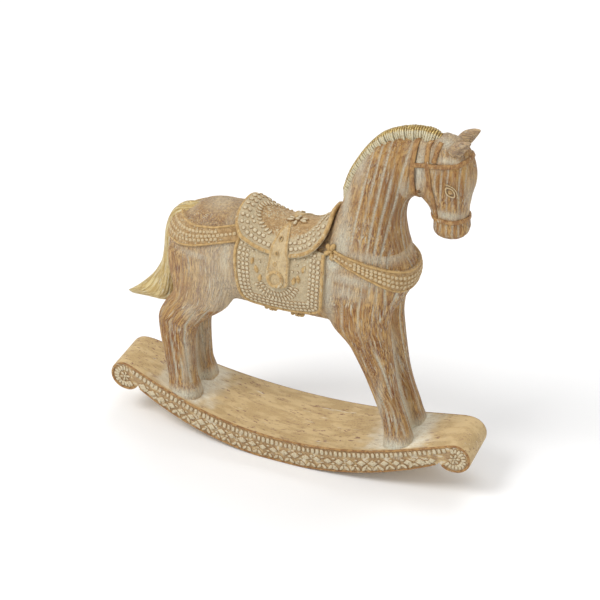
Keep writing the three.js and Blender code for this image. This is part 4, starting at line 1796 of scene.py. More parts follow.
@dataclass
class Saddlery:
    """Blanket, saddle, drop strap and their beadwork.

    Args:
        figure: the figure's scale.
        body: the horse's form maker, for the seat's loft.
        repeat: the nodes that repeat the beadwork.
        blanket_thickness: of the blanket.
        blanket_rim: width and height of its rolled edge.
        skirt_thickness: of the saddle over the barrel.
        saddle_rim: width and height of its rolled edge.
        bead: length, width and height of a bead.
        petal: length, width and height of a petal.
        strap_relief: of the drop strap.
        ring_radius: of the ring at the strap's end.
        ring_bar: thickness of the ring's bar.
        hole_radius: of the eyelets on the strap.
    """

    figure: FigureScale
    body: HorseBody
    repeat: RepeatNodes
    blanket_thickness: float = 1.5
    blanket_rim: tuple[float, float] = (1.9, 0.8)
    skirt_thickness: float = 2.2
    saddle_rim: tuple[float, float] = (2.2, 1.0)
    bead: Triple = (2.6, 2.45, 0.62)
    petal: Triple = (3.7, 1.95, 0.7)
    strap_relief: float = 1.15
    ring_radius: float = 3.9
    ring_bar: float = 1.1
    hole_radius: float = 0.85

    SEAT = [
        (-32, 124, -32, 84, 17), (-29, 127.6, -29, 82, 21), (-24.5, 125.6, -24.5, 80, 22.5),
        (-17, 121.6, -17, 80, 23), (-6, 119.4, -6, 80, 23), (6, 120, 6, 80, 23),
        (12, 122.6, 12, 80, 23), (18, 129.2, 18, 82, 21), (22, 135, 22, 84, 16), (24.5, 132, 24.5, 88, 12),
    ]
    SKIRT = [
        (-31.2, 124), (-28.8, 117), (-23.5, 113), (-16, 110), (-8, 108.6), (1, 108.6), (9, 110.6),
        (15.5, 114.5), (20, 120), (22.6, 127),
    ]
    BLANKET = [
        [(-27.2, 115), (-28.6, 107), (-28, 98), (-26.8, 88), (-25.2, 80.5), (-23.2, 77)],
        [(-23.2, 77), (-19, 75), (-10, 74.3), (2, 74.5), (12, 76), (18.4, 77.8), (21.6, 80)],
        [(21.6, 80), (22.8, 83), (23.6, 92), (23.8, 103), (22.8, 114)],
    ]
    STRAP = [
        (121.4, -3.4, -2.4), (119.2, -5.9, -1.3), (116, -6.9, 0.5), (112.7, -7.7, 1.8), (108, -8.0, 3.1),
        (104.4, -8.2, 3.6), (100, -8.7, 3.8), (96.7, -8.9, 3.9), (94.2, -8.0, 3.9), (92.6, -5.8, 3.1),
        (91.6, -3.2, 0.5),
    ]
    HOLES = [(-3.6, 109.9), (-4.3, 103.4), (-3.6, 115.6)]
    RING = (-3.4, 95.8)
    SEAT_MIDDLE = (-4.0, 0.0)
    KNOTS = (-9.0, 6.3)
    DROPS = [
        (6.9, 96.6, 80), (9.4, 98.2, 105), (12.0, 104.0, 75), (-12.6, 94.0, 82), (-14.9, 98.6, 110),
        (-17.6, 102.6, 80),
    ]
    DOTS = [
        (5.8, 101.6), (8.2, 105.2), (11.6, 109), (-17.9, 107.6), (-13.4, 103.2), (6.2, 107.5),
        (8.8, 101.8),
    ]

    def blanket(self, smooth: Surface, sign: float) -> tuple[Shell, Shell, SideChart]:
        """One flank of the blanket.

        Args:
            smooth: the horse's skin.
            sign: which flank.

        Returns:
            The plate, its rolled edge and the drawing surface on it.
        """
        chart = SideChart(smooth, sign)
        rear, low, front = (spline(self.figure.side(line), 60) for line in self.BLANKET)
        front = front[::-1]
        rows, cols = 64, 72
        u = np.linspace(0, 1, cols)
        v = np.linspace(0, 1, rows)
        steps = np.linspace(0, 1, 60)
        bottom, left, right = read_at(u, steps, low), read_at(v, steps, rear), read_at(v, steps, front)
        upper = left[0] + (right[0] - left[0]) * u[:, None]
        uu, vv = u[None, :, None], v[:, None, None]
        grid = ((1 - uu) * left[:, None] + uu * right[:, None] + (1 - vv) * upper[None] + vv * bottom[None]
                - ((1 - uu) * (1 - vv) * left[0] + uu * (1 - vv) * right[0]
                   + (1 - uu) * vv * left[-1] + uu * vv * right[-1]))
        places, normals = chart.lay(grid.reshape(-1, 2))
        body = raised(places, normals, self.blanket_thickness, 1.2, np.zeros((rows, cols)))
        chart.lift = self.blanket_thickness
        width, height = self.blanket_rim
        self.edge = even(np.vstack([left, bottom[1:], right[::-1][1:]]), 0.8)
        places, normals = chart.lay(moved_in(self.edge, width * 0.45, closed=False))
        return body, sweep(places, normals, width, height, sink=1.6, segments=12), chart

    def blanket_beads(self, chart: SideChart) -> tuple[Guides, Guides]:
        """Beads and petals of the blanket.

        Args:
            chart: the flank's drawing surface.

        Returns:
            Guides of the beads and of the petals.
        """
        beads, petals = [], []
        for distance, size, pitch in ((3.2, 1.0, 2.45), (5.6, 1.0, 2.4), (7.8, 0.9, 2.3)):
            line = even(moved_in(self.edge, distance, closed=False), pitch)
            line = line[line[:, 1] < self.figure.spot(0, 112)[1]]
            size = tuple(size * s for s in self.bead)
            beads.append(chart.guides(line, tangents(line), size))
        centre = self.figure.spot(*self.RING)
        for radius, share in ((9.4, 0.9), (12.4, 1.0)):
            turn = np.radians(np.arange(208, 348, math.degrees(1.95 / radius)))
            line = centre + radius * circle(turn)
            size = tuple(s * share for s in self.petal)
            petals.append(chart.guides(line, line - centre, size))
        return Guides.joined(beads), Guides.joined(petals)

    def seat_surface(self) -> Surface:
        """The surface of the saddle: its dished seat melted with the flanks under its skirt.

        Returns:
            The surface.
        """
        forms = [self.body.loft(self.SEAT, squareness=2.4),
                 self.body.loft(TRUNK, squareness=2.15, swell=self.skirt_thickness)]
        return Surface(fused(forms, 1.2, 6))

    def saddle(self) -> tuple[Shell, Shell, BarrelChart, Array]:
        """The saddle over the back.

        Returns:
            The seat's plate, its rolled edge, the drawing surface and the drawn outline.
        """
        chart = BarrelChart(self.seat_surface(), self.figure.spot(0, 84)[1], 26.0)
        skirt = spline(self.figure.side(self.SKIRT), 90)
        right = np.array([chart.drawn(x, z, -1) for x, z in skirt])
        left = right[::-1] * np.array([1, -1])
        outline = np.vstack([right, left])
        outline = even(spline(even(outline, 6.0, True), 900, True), 0.8, True)
        centre = np.array(self.SEAT_MIDDLE)
        width, height = self.saddle_rim
        reach = np.linalg.norm(outline - centre, axis=1)[:, None]
        shares = np.linspace(0, 1, 9) * width * 1.2
        inner_shares = np.linspace(0, 1, 22)[1:]
        columns = [outline + (centre - outline) / reach * d for d in shares]
        last = columns[-1]
        columns += [last + (centre - last) * s * 0.985 for s in inner_shares]
        drawn = np.stack(columns, 1)
        rows, cols, _ = drawn.shape
        places, normals = chart.lay(drawn.reshape(-1, 2))
        distance = np.concatenate([shares, np.full(len(inner_shares), FAR)])
        rise = np.tile(rolled(distance, width, height * 0.6), (rows, 1))
        seat = raised(places, normals, rise.reshape(-1, 1), 2.6, np.zeros((rows, cols)), wrapped=True)
        places, normals = chart.lay(moved_in(outline, self.turn_sign(outline) * width * 0.45))
        rim = sweep(places, normals, width, height * 1.05, closed=True, sink=2.0, segments=12)
        return seat, rim, chart, outline

    @staticmethod
    def turn_sign(outline: Array) -> float:
        """One for an outline that runs against the clock, else minus one.

        Args:
            outline: its points.

        Returns:
            The sign.
        """
        following = np.roll(outline, -1, 0)
        area = (outline[:, 0] * following[:, 1] - following[:, 0] * outline[:, 1]).sum()
        return 1.0 if area > 0 else -1.0

    def saddle_beads(self, chart: BarrelChart, outline: Array) -> tuple[Guides, Guides]:
        """Rows of beads inside the saddle's edge, and petals round the seat.

        Args:
            chart: the saddle's drawing surface.
            outline: the drawn outline.

        Returns:
            Guides of the beads and of the petals.
        """
        inward = self.turn_sign(outline)
        beads, petals = [], []
        arcs = (np.array([-5.0, 0.0, 16.9, 10.5]), np.array([0.0, 0.0, 15.6, 9.6]))
        for distance, share, pitch in ((3.5, 1.05, 2.6), (6.0, 1.05, 2.6), (8.4, 1.0, 2.5)):
            line = even(moved_in(outline, inward * distance), pitch, True)
            arc = np.where(line[:, :1] < -3, arcs[0], arcs[1])
            reach = (line[:, 0] - arc[:, 0]) ** 2 / (arc[:, 2] + 2.6) ** 2
            reach += line[:, 1] ** 2 / (arc[:, 3] + 2.6) ** 2
            line = line[reach > 1]
            size = tuple(share * s for s in self.bead)
            beads.append(chart.guides(line, tangents(line), size))
        for arc, start, end in ((arcs[0], 105, 255), (arcs[1], -72, 72)):
            turn = np.radians(np.arange(start, end + 1, 8.5))
            line = arc[:2] + arc[2:] * circle(turn)
            petals.append(chart.guides(line, line - arc[:2], self.petal))
        return Guides.joined(beads), Guides.joined(petals)

    def drop_strap(self, saddle: BarrelChart, flank: SideChart, sign: float) -> list[Shell]:
        """The strap that drops from the seat, with its ring, holes and raised edge.

        Args:
            saddle: the saddle's drawing surface.
            flank: the blanket's drawing surface.
            sign: which flank.

        Returns:
            The strap's shells.
        """
        table = spline(np.array(self.STRAP), 70)
        cols = 17
        shares = np.linspace(0, 1, cols)
        width = table[:, 2] - table[:, 1]
        x = table[:, 1:2] + width[:, None] * shares[None]
        z = np.repeat(table[:, :1], cols, 1)
        flat = self.figure.side(np.stack([x, z], 2)).reshape(-1, 2)
        low, normals_low = flank.lay(flat)
        taper = np.clip((table[:1, 0] - table[:, 0]) / 9.0, 0.25, 1)
        wrapped = self.wrap(saddle, flat.reshape(len(table), cols, 2), sign)
        high, normals_high = saddle.lay(wrapped)
        edge = self.figure.spot(0, 109.0)[1]
        share = np.clip((flat[:, 1] - edge + 4.5) / 8.0, 0, 1)
        share = (share * share * (3 - 2 * share))[:, None]
        places = low * (1 - share) + high * share
        normals = unit(normals_low * (1 - share) + normals_high * share)
        from_edge = np.minimum(shares, 1 - shares)[None] * width[:, None]
        profile = rolled(from_edge, 1.4, 0.4)
        over_rim = 0.7 * np.exp(-((flat[:, 1] - edge) / 4.5) ** 2)
        rise = ((self.strap_relief + profile) * taper[:, None]).reshape(-1, 1) + over_rim[:, None]
        shells = [raised(places, normals, rise, 1.4, profile / 0.4)]
        ring = self.figure.spot(*self.RING) + self.ring_radius * circle(turns(40))
        at, way = flank.lay(ring, self.strap_relief)
        shells.append(sweep(at, way, self.ring_bar * 2, self.ring_bar, closed=True, sink=0.8))
        for hole in self.HOLES:
            rim = self.figure.spot(*hole) + self.hole_radius * circle(turns(16))
            lift = self.strap_relief + (0.6 if 104 < hole[1] < 114 else 0.1)
            chart = SideChart(saddle.surface, sign) if hole[1] > 108 else flank
            at, way = chart.lay(rim, lift)
            shells.append(sweep(at, way, 0.7, 0.35, closed=True, sink=0.4, segments=6))
        return shells

    def wrap(self, saddle: BarrelChart, flat: Array, sign: float) -> Array:
        """Turns a side-view grid into the saddle's own drawing, up to the ridge of the seat.

        Args:
            saddle: the saddle's drawing surface.
            flat: rows of side-view points, from the top down.
            sign: which flank.

        Returns:
            The drawn points.
        """
        limit = self.figure.spot(0, 116.5)[1]
        start = flat[0, 0, 1]
        rows = []
        for row in flat:
            x, z = row[:, 0].mean(), row[0, 1]
            b = saddle.drawn(x, min(z, limit), sign)[1]
            if z > limit:
                b = b + (sign * 2.4 - b) * (z - limit) / (start - limit)
            rows.append(np.stack([row[:, 0], np.full(len(row), b)], 1))
        return np.vstack(rows)

    def flower(self, chart: BarrelChart) -> Guides:
        """The flower of petals in the middle of the seat.

        Args:
            chart: the saddle's drawing surface.

        Returns:
            The petals' guides.
        """
        centre = np.array([self.figure.spot(0, 0)[0] - 0.5, 0.0])
        turn = np.radians([20.0, 90.0, 160.0, 200.0, 270.0, 340.0])
        line = centre + np.array([4.0, 2.3]) * circle(turn)
        petals = chart.guides(line, line - centre, (4.8, 2.7, 1.2), 0.2)
        middle = chart.guides(centre[None], np.array([[1.0, 0.0]]), (2.8, 2.4, 1.6), 0.3)
        return Guides.joined([petals, middle])

    def tassels(self, flank: SideChart) -> Guides:
        """Leafy knots under the blanket's lower edge.

        Args:
            flank: the blanket's drawing surface.

        Returns:
            The leaves' guides.
        """
        rows = []
        for x in self.KNOTS:
            centre = self.figure.spot(x, 73.2)
            for angle, away in ((200, 2.6), (250, 1.6), (290, 1.6), (340, 2.6), (90, 0.3)):
                way = direction(angle)
                rows.append(flank.guides((centre + way * away)[None], way[None], (3.4, 2.4, 1.5), -0.6))
        return Guides.joined(rows)

    def dress(self, smooth: Surface) -> None:
        """Builds the saddle's and the blanket's pieces.

        Args:
            smooth: the horse's skin.
        """
        seat, saddle_rim, top, outline = self.saddle()
        saddle_beads, saddle_petals = self.saddle_beads(top, outline)
        plates, rims = [seat], [saddle_rim]
        straps, beads, petals, drops, knots = [], [saddle_beads], [saddle_petals], [], []
        for sign in (1.0, -1.0):
            body, edge, flank = self.blanket(smooth, sign)
            plates.append(body)
            rims.append(edge)
            row, fans = self.blanket_beads(flank)
            beads.append(row)
            petals.append(fans)
            straps += self.drop_strap(top, flank, sign)
            for x, z, angle in self.DROPS:
                at = self.figure.side([(x, z)])
                drops.append(flank.guides(at, direction(angle)[None], (4.6, 2.4, 1.0)))
            dots = self.figure.side(self.DOTS)
            beads.append(flank.guides(dots, np.tile([1.0, 0.0], (len(dots), 1)), (1.5, 1.5, 0.7)))
            knots.append(self.tassels(flank))
        ground = joined(plates)
        seated = np.hypot(ground.points[:, 0] + 5, ground.points[:, 1] * 1.2) < 17
        wash = np.where(seated & (np.arange(len(ground.points)) < len(seat.points)), 0.0, 0.5)
        finished(mesh_object("saddle_and_blanket", ground, wash=wash), Finish.GROUND)
        finished(mesh_object("saddle_rims", joined(rims)), Finish.RIM)
        strap = joined(straps)
        finished(mesh_object("drop_straps", strap, wash=0.35 * (1 - strap.crest)), Finish.RIM)
        rows = ((Motif.BEAD, "saddle_beads", Guides.joined(beads), Finish.STUD),
                (Motif.PETAL, "saddle_petals", Guides.joined(petals), Finish.STUD),
                (Motif.ALMOND, "blanket_drops", Guides.joined(drops), Finish.RIM),
                (Motif.PETAL, "tassels", Guides.joined(knots), Finish.RIM),
                (Motif.PETAL, "seat_flower", self.flower(top), Finish.STUD))
        for motif, name, guides, finish in rows:
            self.repeat.run(name, motif.shell(), guides, finish)


@dataclass
class Harness:
    """The breast strap and the crupper strap.

    Args:
        figure: the figure's scale.
        repeat: the nodes that repeat the beadwork.
        relief: how far the straps stand proud.
        edge: width and height of their plain edges.
        bead: length, width and height of a bead.
        bead_pitch: between the beads of a row.
    """

    figure: FigureScale
    repeat: RepeatNodes
    relief: float = 0.9
    edge: tuple[float, float] = (1.2, 0.55)
    bead: Triple = (2.45, 2.1, 0.6)
    bead_pitch: float = 2.35

    BREAST = [(26, 113.8, 118.2), (29, 112.9, 117.4), (40.5, 109.1, 116.4), (51, 105, 114.4),
              (58, 101.6, 112.4), (62.3, 99.3, 111.2), (65, 98.4, 110.4), (68, 98.2, 109.5)]
    CRUPPER = [(-75, 100.2, 113.4), (-62.5, 100.3, 113.4), (-52.6, 102.8, 113.8), (-42.2, 106.2, 115),
               (-31.4, 109.2, 117.3), (-26, 110.5, 118.5)]

    def chart(self, smooth: Surface, axis: float, reach: tuple[float, float], table: list) -> BandChart:
        """The drawing surface of a strap.

        Args:
            smooth: the horse's skin.
            axis: where the axis stands that the strap goes round.
            reach: the strap's first and last angle, in degrees.
            table: place along the body, lower edge and upper edge over the hooves.

        Returns:
            The drawing surface.
        """
        rows = np.array(table, float)
        rows[:, 1:] += self.figure.standing
        start, end = map(math.radians, reach)
        return BandChart(smooth, axis, start, end, rows[np.argsort(rows[:, 0])])

    def band(self, chart: BandChart) -> tuple[Shell, list[Shell]]:
        """A strap with plain raised edges.

        Args:
            chart: the strap's drawing surface.

        Returns:
            The strap's plate and its two edges.
        """
        along = np.linspace(chart.reach[0], chart.reach[-1], 170)
        shares = np.linspace(0, 1, 13)
        drawn = np.array([[(a, s) for s in shares] for a in along]).reshape(-1, 2)
        places, normals = chart.lay(drawn)
        ground = raised(places, normals, self.relief, 1.2, np.zeros((len(along), len(shares))))
        width, height = self.edge
        edges = []
        for share in (0.07, 0.93):
            line = np.stack([along, np.full(len(along), share)], 1)
            at, way = chart.lay(line, self.relief)
            edges.append(sweep(at, way, width, height, sink=1.3, segments=8))
        return ground, edges

    def studs(self, chart: BandChart, rows: list[tuple[float, float]]) -> Guides:
        """Rows of beads along a strap.

        Args:
            chart: the strap's drawing surface.
            rows: share of the width and least strap width for each row.

        Returns:
            The beads' guides.
        """
        found = []
        for share, least in rows:
            along = np.arange(chart.reach[0] + 2, chart.reach[-1] - 1, self.bead_pitch)
            along = along + (1.07 if int(share * 100) % 2 else 0.0)
            keep = np.array([chart.width(a) > least for a in along])
            line = np.stack([along, np.full(len(along), share)], 1)[keep]
            places, normals = chart.lay(line, self.relief)
            ahead, _ = chart.lay(line + np.array([0.5, 0.0]), self.relief)
            sizes = np.tile(self.bead, (len(line), 1))
            found.append(Guides(places, normals, unit(ahead - places), sizes))
        return Guides.joined(found)

    def bows(self, smooth: Surface) -> Guides:
        """The small bows where the breast strap meets the blanket.

        Args:
            smooth: the horse's skin.

        Returns:
            The loops' guides.
        """
        rows = []
        for sign in (1.0, -1.0):
            chart = SideChart(smooth, sign, self.relief)
            centre = self.figure.spot(26.0, 116.4)
            for angle in (75, 150, 210, 285):
                way = direction(angle)
                rows.append(chart.guides((centre + way * 2.4)[None], way[None], (4.4, 3.0, 1.3)))
            rows.append(chart.guides(centre[None], np.array([[1.0, 0.0]]), (2.2, 2.2, 1.7)))
        return Guides.joined(rows)

    def dress(self, smooth: Surface) -> None:
        """Builds the straps' pieces.

        Args:
            smooth: the horse's skin.
        """
        breast = self.chart(smooth, 40.0, (-126, 126), self.BREAST)
        crupper = self.chart(smooth, -46.0, (38, 322), self.CRUPPER)
        (fore, fore_edges), (hind, hind_edges) = self.band(breast), self.band(crupper)
        finished(mesh_object("harness_straps", joined([fore, hind])), Finish.GROUND)
        finished(mesh_object("harness_edges", joined(fore_edges + hind_edges)), Finish.RIM)
        middle = self.studs(breast, [(0.3, 7.0), (0.5, 0.0), (0.7, 7.0)])
        rear = self.studs(crupper, [(0.31, 8.6), (0.5, 0.0), (0.71, 8.6)])
        beads = Guides.joined([middle, rear])
        self.repeat.run("harness_beads", Motif.BEAD.shell(), beads, Finish.KNOB)
        self.repeat.run("harness_bows", Motif.PETAL.shell(), self.bows(smooth), Finish.RIM)


@dataclass
class Bridle:
    """The thin straps round the head.

    Args:
        figure: the figure's scale.
        width: of a strap.
        relief: how far it stands proud.
    """

    figure: FigureScale
    width: float = 2.5
    relief: float = 0.65

    UPRIGHT = [
        [(66.6, 186.4), (66, 184.0), (65.5, 174), (65.6, 165.5), (66.6, 157.5), (68.5, 151)],
        [(74.2, 187.4), (72.6, 184), (73, 175.3), (74.9, 165), (77, 155.9), (78.7, 144.1)],
        [(79.0, 187.4), (77.6, 183), (76.5, 176.5)],
    ]
    BROW = [(65.4, 173.6), (74.9, 174.6), (81.9, 175.8), (88.7, 177), (92.5, 179.2), (97, 181.5)]
    NOSE = [(70, 143.0), (78.9, 143), (83.9, 143), (88.2, 143.2), (92.6, 144.3), (99, 145)]

    def dress(self, smooth: Surface) -> None:
        """Builds the bridle's piece.

        Args:
            smooth: the horse's skin.
        """
        shells = []
        for sign in (1.0, -1.0):
            chart = SideChart(smooth, sign)
            for line in self.UPRIGHT:
                drawn = even(spline(self.figure.side(line), 120), 0.7)
                places, normals = chart.lay(drawn)
                shells.append(sweep(places, normals, self.width, self.relief, blunt=0.55))
        bands = ((self.BROW, 78.0, -140, 140, 24.0), (self.NOSE, 85.0, -180, 180, 17.0))
        for table, axis, start, end, reach_out in bands:
            rows = np.array([(x, z - 0.01, z + 0.01) for x, z in self.figure.side(table)])
            chart = BandChart(smooth, axis, math.radians(start), math.radians(end), rows, reach_out)
            closed = end == 180
            along = np.linspace(chart.reach[0], chart.reach[-1], 90)
            along = along[:-1] if closed else along
            places, normals = chart.lay(np.stack([along, np.full(len(along), 0.5)], 1))
            shells.append(sweep(places, normals, self.width, self.relief, closed=closed, blunt=0.55))
        finished(mesh_object("bridle", joined(shells)), Finish.STRAP)


@dataclass
class Face:
    """Eyes and ears.

    Args:
        figure: the figure's scale.
        ear_width: of an ear.
        ear_spacing: between the ears' roots.
        ear_lean: how far a tip leans outwards.
    """

    figure: FigureScale
    ear_width: float = 6.8
    ear_spacing: float = 12.4
    ear_lean: float = 1.6

    EYE = (86.4, 162.4)

    def ear(self, sign: float) -> Shell:
        """One ear with a hollow along its front.

        Args:
            sign: which side.

        Returns:
            The ear.
        """
        rows = [
            (82.6, 184.2, 88.2, 179.6, 0.7, 0.0), (84.2, 187.0, 90.2, 182.2, 0.92, 0.4),
            (86.6, 189.4, 91.9, 184.8, 0.86, 0.75), (90.8, 191.2, 93.8, 188.0, 0.55, 0.95),
            (93.6, 191.5, 94.9, 190.2, 0.25, 1.0), (94.8, 191.4, 95.0, 191.0, 0.06, 1.0),
        ]
        rows = spline(np.array(rows), 26)
        stations = rows[:, :4].copy() * self.figure.height / self.figure.stations_high
        stations[:, [1, 3]] += self.figure.standing
        turn = turns(28)
        rings = []
        for row, share in zip(stations, rows[:, 4:]):
            hollow = 1 - 0.5 * np.exp(-((turn - (1.5 * math.pi + sign * 0.9)) / 0.55) ** 2)
            y = sign * (self.ear_spacing / 2 + self.ear_lean * share[1])
            across = np.cos(turn) * hollow * self.ear_width / 2 * share[0]
            rings.append(section(row[0:2], row[2:4], np.sin(turn) * hollow, y + across))
        return tube(np.array(rings))

    def eye(self, smooth: Surface, sign: float) -> list[Shell]:
        """One eye: a ball in a rim, with a fold above it.

        Args:
            smooth: the horse's skin.
            sign: which side.

        Returns:
            The eye's shells.
        """
        chart = SideChart(smooth, sign)
        centre = self.figure.spot(*self.EYE)
        shells = []
        cos, sin = circle(turns(48)).T
        almond = np.stack([3.2 * cos, 1.95 * sin * (1 - 0.35 * cos ** 2)], 1)
        tilted = np.array([direction(-52), direction(-52 + 90)])
        for scale, width, height in ((1.0, 0.85, 0.6), (1.55, 0.7, 0.4)):
            flat = scale * (almond[3:23] if scale > 1 else almond)
            places, normals = chart.lay(centre + flat @ tilted)
            shells.append(sweep(places, normals, width, height, closed=scale == 1.0, sink=0.4, segments=8))
        place, normal = chart.lay(centre[None])
        turn = np.linspace(0, math.pi / 2, 6)[:-1]
        around = circle(turns(16))
        side = unit(np.cross(normal[0], [0, 0, 1.0])[None])[0]
        spokes = around @ np.array([side, np.cross(side, normal[0])])
        rings = [place[0] + 1.4 * math.cos(t) * spokes + (math.sin(t) - 0.5) * normal[0] for t in turn]
        shells.append(tube(np.array(rings)))
        return shells

    def dress(self, smooth: Surface) -> None:
        """Builds the eyes' and ears' pieces.

        Args:
            smooth: the horse's skin.
        """
        ears = joined([self.ear(1.0), self.ear(-1.0)])
        wash = np.full(len(ears.points), 0.3)
        finished(mesh_object("ears", ears, ears.points[:, [2, 1, 0]], wash), Finish.CARVED)
        eyes = joined(self.eye(smooth, 1.0) + self.eye(smooth, -1.0))
        finished(mesh_object("eyes", eyes), Finish.KNOB)


@dataclass
class Hair:
    """The gilt mane and tail.

    Args:
        figure: the figure's scale.
        repeat: the nodes that repeat the mane's ribs.
        mane_width: of the mane's band.
        rib_pitch: between the ribs over the mane.
        tail_width: of the tail.
        locks: how many locks the tail has.
    """

    figure: FigureScale
    repeat: RepeatNodes
    mane_width: float = 7.4
    rib_pitch: float = 1.4
    tail_width: float = 12.5
    locks: int = 9

    CREST = [(23, 138), (25, 147), (28, 157.5), (33, 167.5), (38.5, 176), (46, 184), (56, 189.2),
             (67, 191.5), (76, 190.5), (85, 187)]
    TAIL = [
        (-54, 118, -52, 107, 0.5), (-63, 118, -57, 105, 0.8), (-71, 114, -62, 101, 0.95),
        (-76, 107, -65, 96, 1), (-79, 97, -67, 91, 1), (-80, 86, -68, 83, 0.98), (-81.5, 77, -69, 74, 0.95),
        (-85, 70, -70.5, 64, 0.92), (-90, 63, -73, 55, 0.85), (-95.5, 57, -79, 50.5, 0.7),
        (-100, 53, -88, 50, 0.45), (-103.5, 50.5, -99, 49, 0.15),
    ]

    def mane_core(self) -> tuple[Shell, Array, Array]:
        """The band that the ribs lie on.

        Returns:
            The band, its crest line and the outward directions.
        """
        crest = even(spline(self.figure.side(self.CREST), 400), 1.2)
        along = tangents(crest)
        outward = np.stack([-along[:, 1], along[:, 0]], 1)
        count = len(crest)
        order = np.arange(count)
        fade = np.clip(np.minimum((order + 1) / 9, (count - order) / 12), 0, 1)
        side, rise = rounded(circle(turns(20)), 0.8).T
        rings = []
        for p, o, f in zip(crest, outward, fade):
            half = self.mane_width / 2 * (0.45 + 0.55 * f) - 0.5
            rings.append(section(p - o * (0.9 + 2 * (1 - f)), p - o * 9, rise, half * side))
        return tube(np.array(rings)), crest, outward

    def rib(self) -> Shell:
        """One rib bent over the mane, one unit wide, with its top at the origin.

        Returns:
            The rib.
        """
        turn = np.linspace(-1.0, 1.0, 15)
        y = 0.5 * rounded(np.sin(turn * math.pi / 2), 0.8)
        z = -0.5 + 0.5 * np.cos(turn * math.pi / 2) ** 0.75
        z = np.where(np.abs(turn) > 0.9, z - 0.12 * (np.abs(turn) - 0.9) * 10, z)
        line = np.stack([np.zeros(15), y, z], 1)
        along = tangents(line)
        outward = np.stack([np.zeros(15), -along[:, 2], along[:, 1]], 1)
        around = np.arange(6) * math.pi / 3
        rings = [p + np.stack([0.5 * np.cos(around), np.zeros(6), np.zeros(6)], 1)
                 + np.outer(np.sin(around) * 0.06, o) for p, o in zip(line, outward)]
        crest = np.repeat(np.clip(1 + line[:, 2:] / 0.16, 0, 1), 6, 1)
        return tube(np.array(rings), crest=crest)

    def ribs(self, crest: Array, outward: Array) -> Guides:
        """Where the mane's ribs lie.

        Args:
            crest: the mane's crest line.
            outward: the outward directions along it.

        Returns:
            The ribs' guides.
        """
        spots = even(crest, self.rib_pitch)
        near = np.array([np.argmin(np.linalg.norm(crest - s, axis=1)) for s in spots])
        share = near / (len(crest) - 1)
        fade = np.clip(np.minimum(share / 0.10, (1 - share) / 0.12), 0.25, 1)
        level = np.zeros(len(spots))
        places, normals, alongs = (np.stack([row[:, 0], level, row[:, 1]], 1)
                                   for row in (spots, outward[near], tangents(crest)[near]))
        places -= normals * (0.7 + 2 * (1 - fade))[:, None]
        sizes = np.stack([np.full(len(spots), self.rib_pitch * 0.9),
                          self.mane_width * (0.45 + 0.55 * fade) * 1.04, 10.5 * (0.5 + 0.5 * fade)], 1)
        return Guides(places, normals, alongs, sizes)

    def tail(self) -> tuple[Shell, Array]:
        """The tail with its long locks.

        Returns:
            The tail and its grain coordinates.
        """
        rows = spline(np.array(self.TAIL, float), 150)
        rows[:, :4] *= self.figure.height / self.figure.stations_high
        rows[:, [1, 3]] += self.figure.standing
        rows[:, 4] = np.maximum(rows[:, 4], 0.1) * self.tail_width / 2
        segments = 108
        turn = turns(segments)
        rings, flow = [], []
        for i, row in enumerate(rows):
            share = i / (len(rows) - 1)
            twist = 0.5 * math.sin(share * 5.0) + 0.9 * share
            lock = np.abs(np.sin((turn + twist) * self.locks / 2)) ** 0.7
            strand = np.abs(np.sin((turn + 1.4 * twist) * self.locks * 1.5 + 0.7)) ** 0.8
            shrink = 0.86 + 0.10 * lock + 0.04 * strand
            across = np.cos(turn) * shrink * row[4]
            rings.append(section(row[0:2], row[2:4], np.sin(turn) * shrink, across))
            flow.append(np.stack([np.cos(turn + twist) * 7, np.sin(turn + twist) * 7,
                                  np.full(segments, share * 110)], 1))
        shell = tube(np.array(rings))
        flow = np.vstack([np.vstack(flow), flow[0].mean(0)[None], flow[-1].mean(0)[None]])
        return shell, flow

    def dress(self) -> None:
        """Builds the mane's and the tail's pieces."""
        core, crest, outward = self.mane_core()
        finished(mesh_object("mane_band", core), Finish.MANE)
        self.repeat.run("mane_ribs", self.rib(), self.ribs(crest, outward), Finish.MANE, 0.35)
        tail, flow = self.tail()
        finished(mesh_object("tail", tail, flow), Finish.GILT)


# The studio


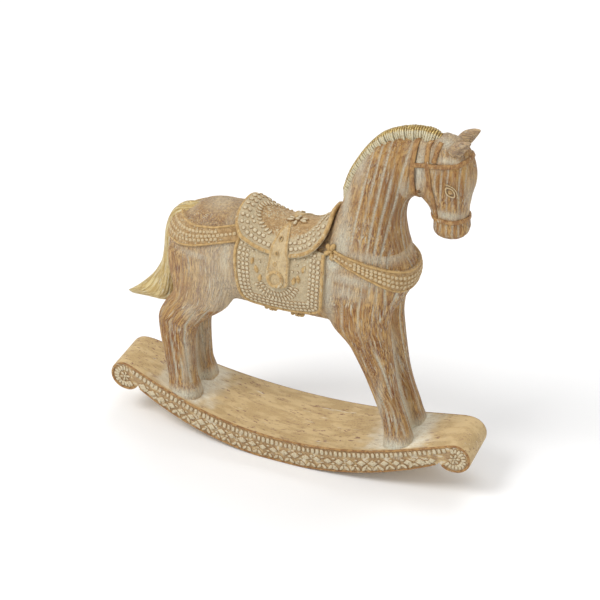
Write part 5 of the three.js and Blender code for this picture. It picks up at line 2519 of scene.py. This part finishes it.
@dataclass(frozen=True)
class Studio:
    """Floor, light and camera.

    Args:
        eye: the camera's place.
        right: the camera's right.
        upward: the camera's up.
        backward: from the picture to the camera.
        lens: focal length of the camera.
        sensor: width of its sensor.
        shift: how far the picture is shifted, as shares of its width.
    """

    eye: Triple = (343.16, -859.31, 685.51)
    right: Triple = (0.92559, 0.37819, 0.01604)
    upward: Triple = (-0.21623, 0.49348, 0.84245)
    backward: Triple = (0.31069, -0.78323, 0.53853)
    lens: float = 120.0
    sensor: float = 36.0
    shift: tuple[float, float] = (-0.00185, 0.0005)

    LAMPS = (("key_light", (-0.9, -0.9, 1.6), 0.9, 22.0), ("fill_light", (1.6, -0.9, 0.9), 1.4, 4.0),
             ("top_light", (0.1, 0.9, 1.7), 1.2, 8.0))

    def camera(self) -> None:
        """Sets the camera at the photograph's viewing angle."""
        data = bpy.data.cameras.new("camera")
        data.lens = self.lens
        data.sensor_width = self.sensor
        data.shift_x, data.shift_y = self.shift
        data.clip_end = 50.0
        camera = linked("camera", data)
        axes = Matrix((self.right, self.upward, self.backward)).transposed()
        camera.matrix_world = Matrix.Translation(Vector(self.eye) * MM) @ axes.to_4x4()
        bpy.context.scene.camera = camera

    def light(self, name: str, place: Triple, size: float, power: float) -> None:
        """Hangs a soft lamp that faces the horse.

        Args:
            name: the lamp's name.
            place: where it hangs, in metres.
            size: its width, in metres.
            power: its power in watts.
        """
        data = bpy.data.lights.new(name, "AREA")
        data.shape = "DISK"
        data.size = size
        data.energy = power
        lamp = linked(name, data)
        away = Vector(place) - Vector((0, 0, 0.1))
        facing = away.to_track_quat("Z", "Y").to_matrix().to_4x4()
        lamp.matrix_world = Matrix.Translation(Vector(place)) @ facing

    def floor(self) -> None:
        """Lays the plain pale floor."""
        reach = 6.0
        mesh = bpy.data.meshes.new("studio_floor")
        mesh.from_pydata([(-reach, -reach, 0), (reach, -reach, 0), (reach, reach, 0), (-reach, reach, 0)],
                         [], [(0, 1, 2, 3)])
        floor = linked("studio_floor", mesh)
        material = bpy.data.materials.new("studio_floor")
        material.use_nodes = True
        kit = NodeKit(material.node_tree)
        kit.shader.inputs["Base Color"].default_value = (0.9, 0.9, 0.9, 1.0)
        kit.shader.inputs["Roughness"].default_value = 0.9
        mesh.materials.append(material)

    def build(self) -> None:
        """Sets up the studio."""
        self.camera()
        self.floor()
        for lamp in self.LAMPS:
            self.light(*lamp)
        world = bpy.data.worlds.new("studio_air")
        bpy.context.scene.world = world
        world.use_nodes = True
        air = world.node_tree.nodes["Background"]
        air.inputs["Color"].default_value = (1.0, 1.0, 1.0, 1.0)
        air.inputs["Strength"].default_value = 0.7
        bpy.context.scene.view_settings.view_transform = "Standard"


def main() -> None:
    """Builds the figurine and its studio in order."""
    logging.basicConfig(level=logging.INFO, format="%(name)s: %(message)s")
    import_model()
    figure = FigureScale()
    repeat = RepeatNodes()
    Studio().build()
    body = HorseBody(figure)
    skin = Surface(body.dress())
    RockerBoard(repeat).dress()
    Saddlery(figure, body, repeat).dress(skin)
    Harness(figure, repeat).dress(skin)
    Bridle(figure).dress(skin)
    Face(figure).dress(skin)
    Hair(figure, repeat).dress()


if __name__ == "__main__":
    main()
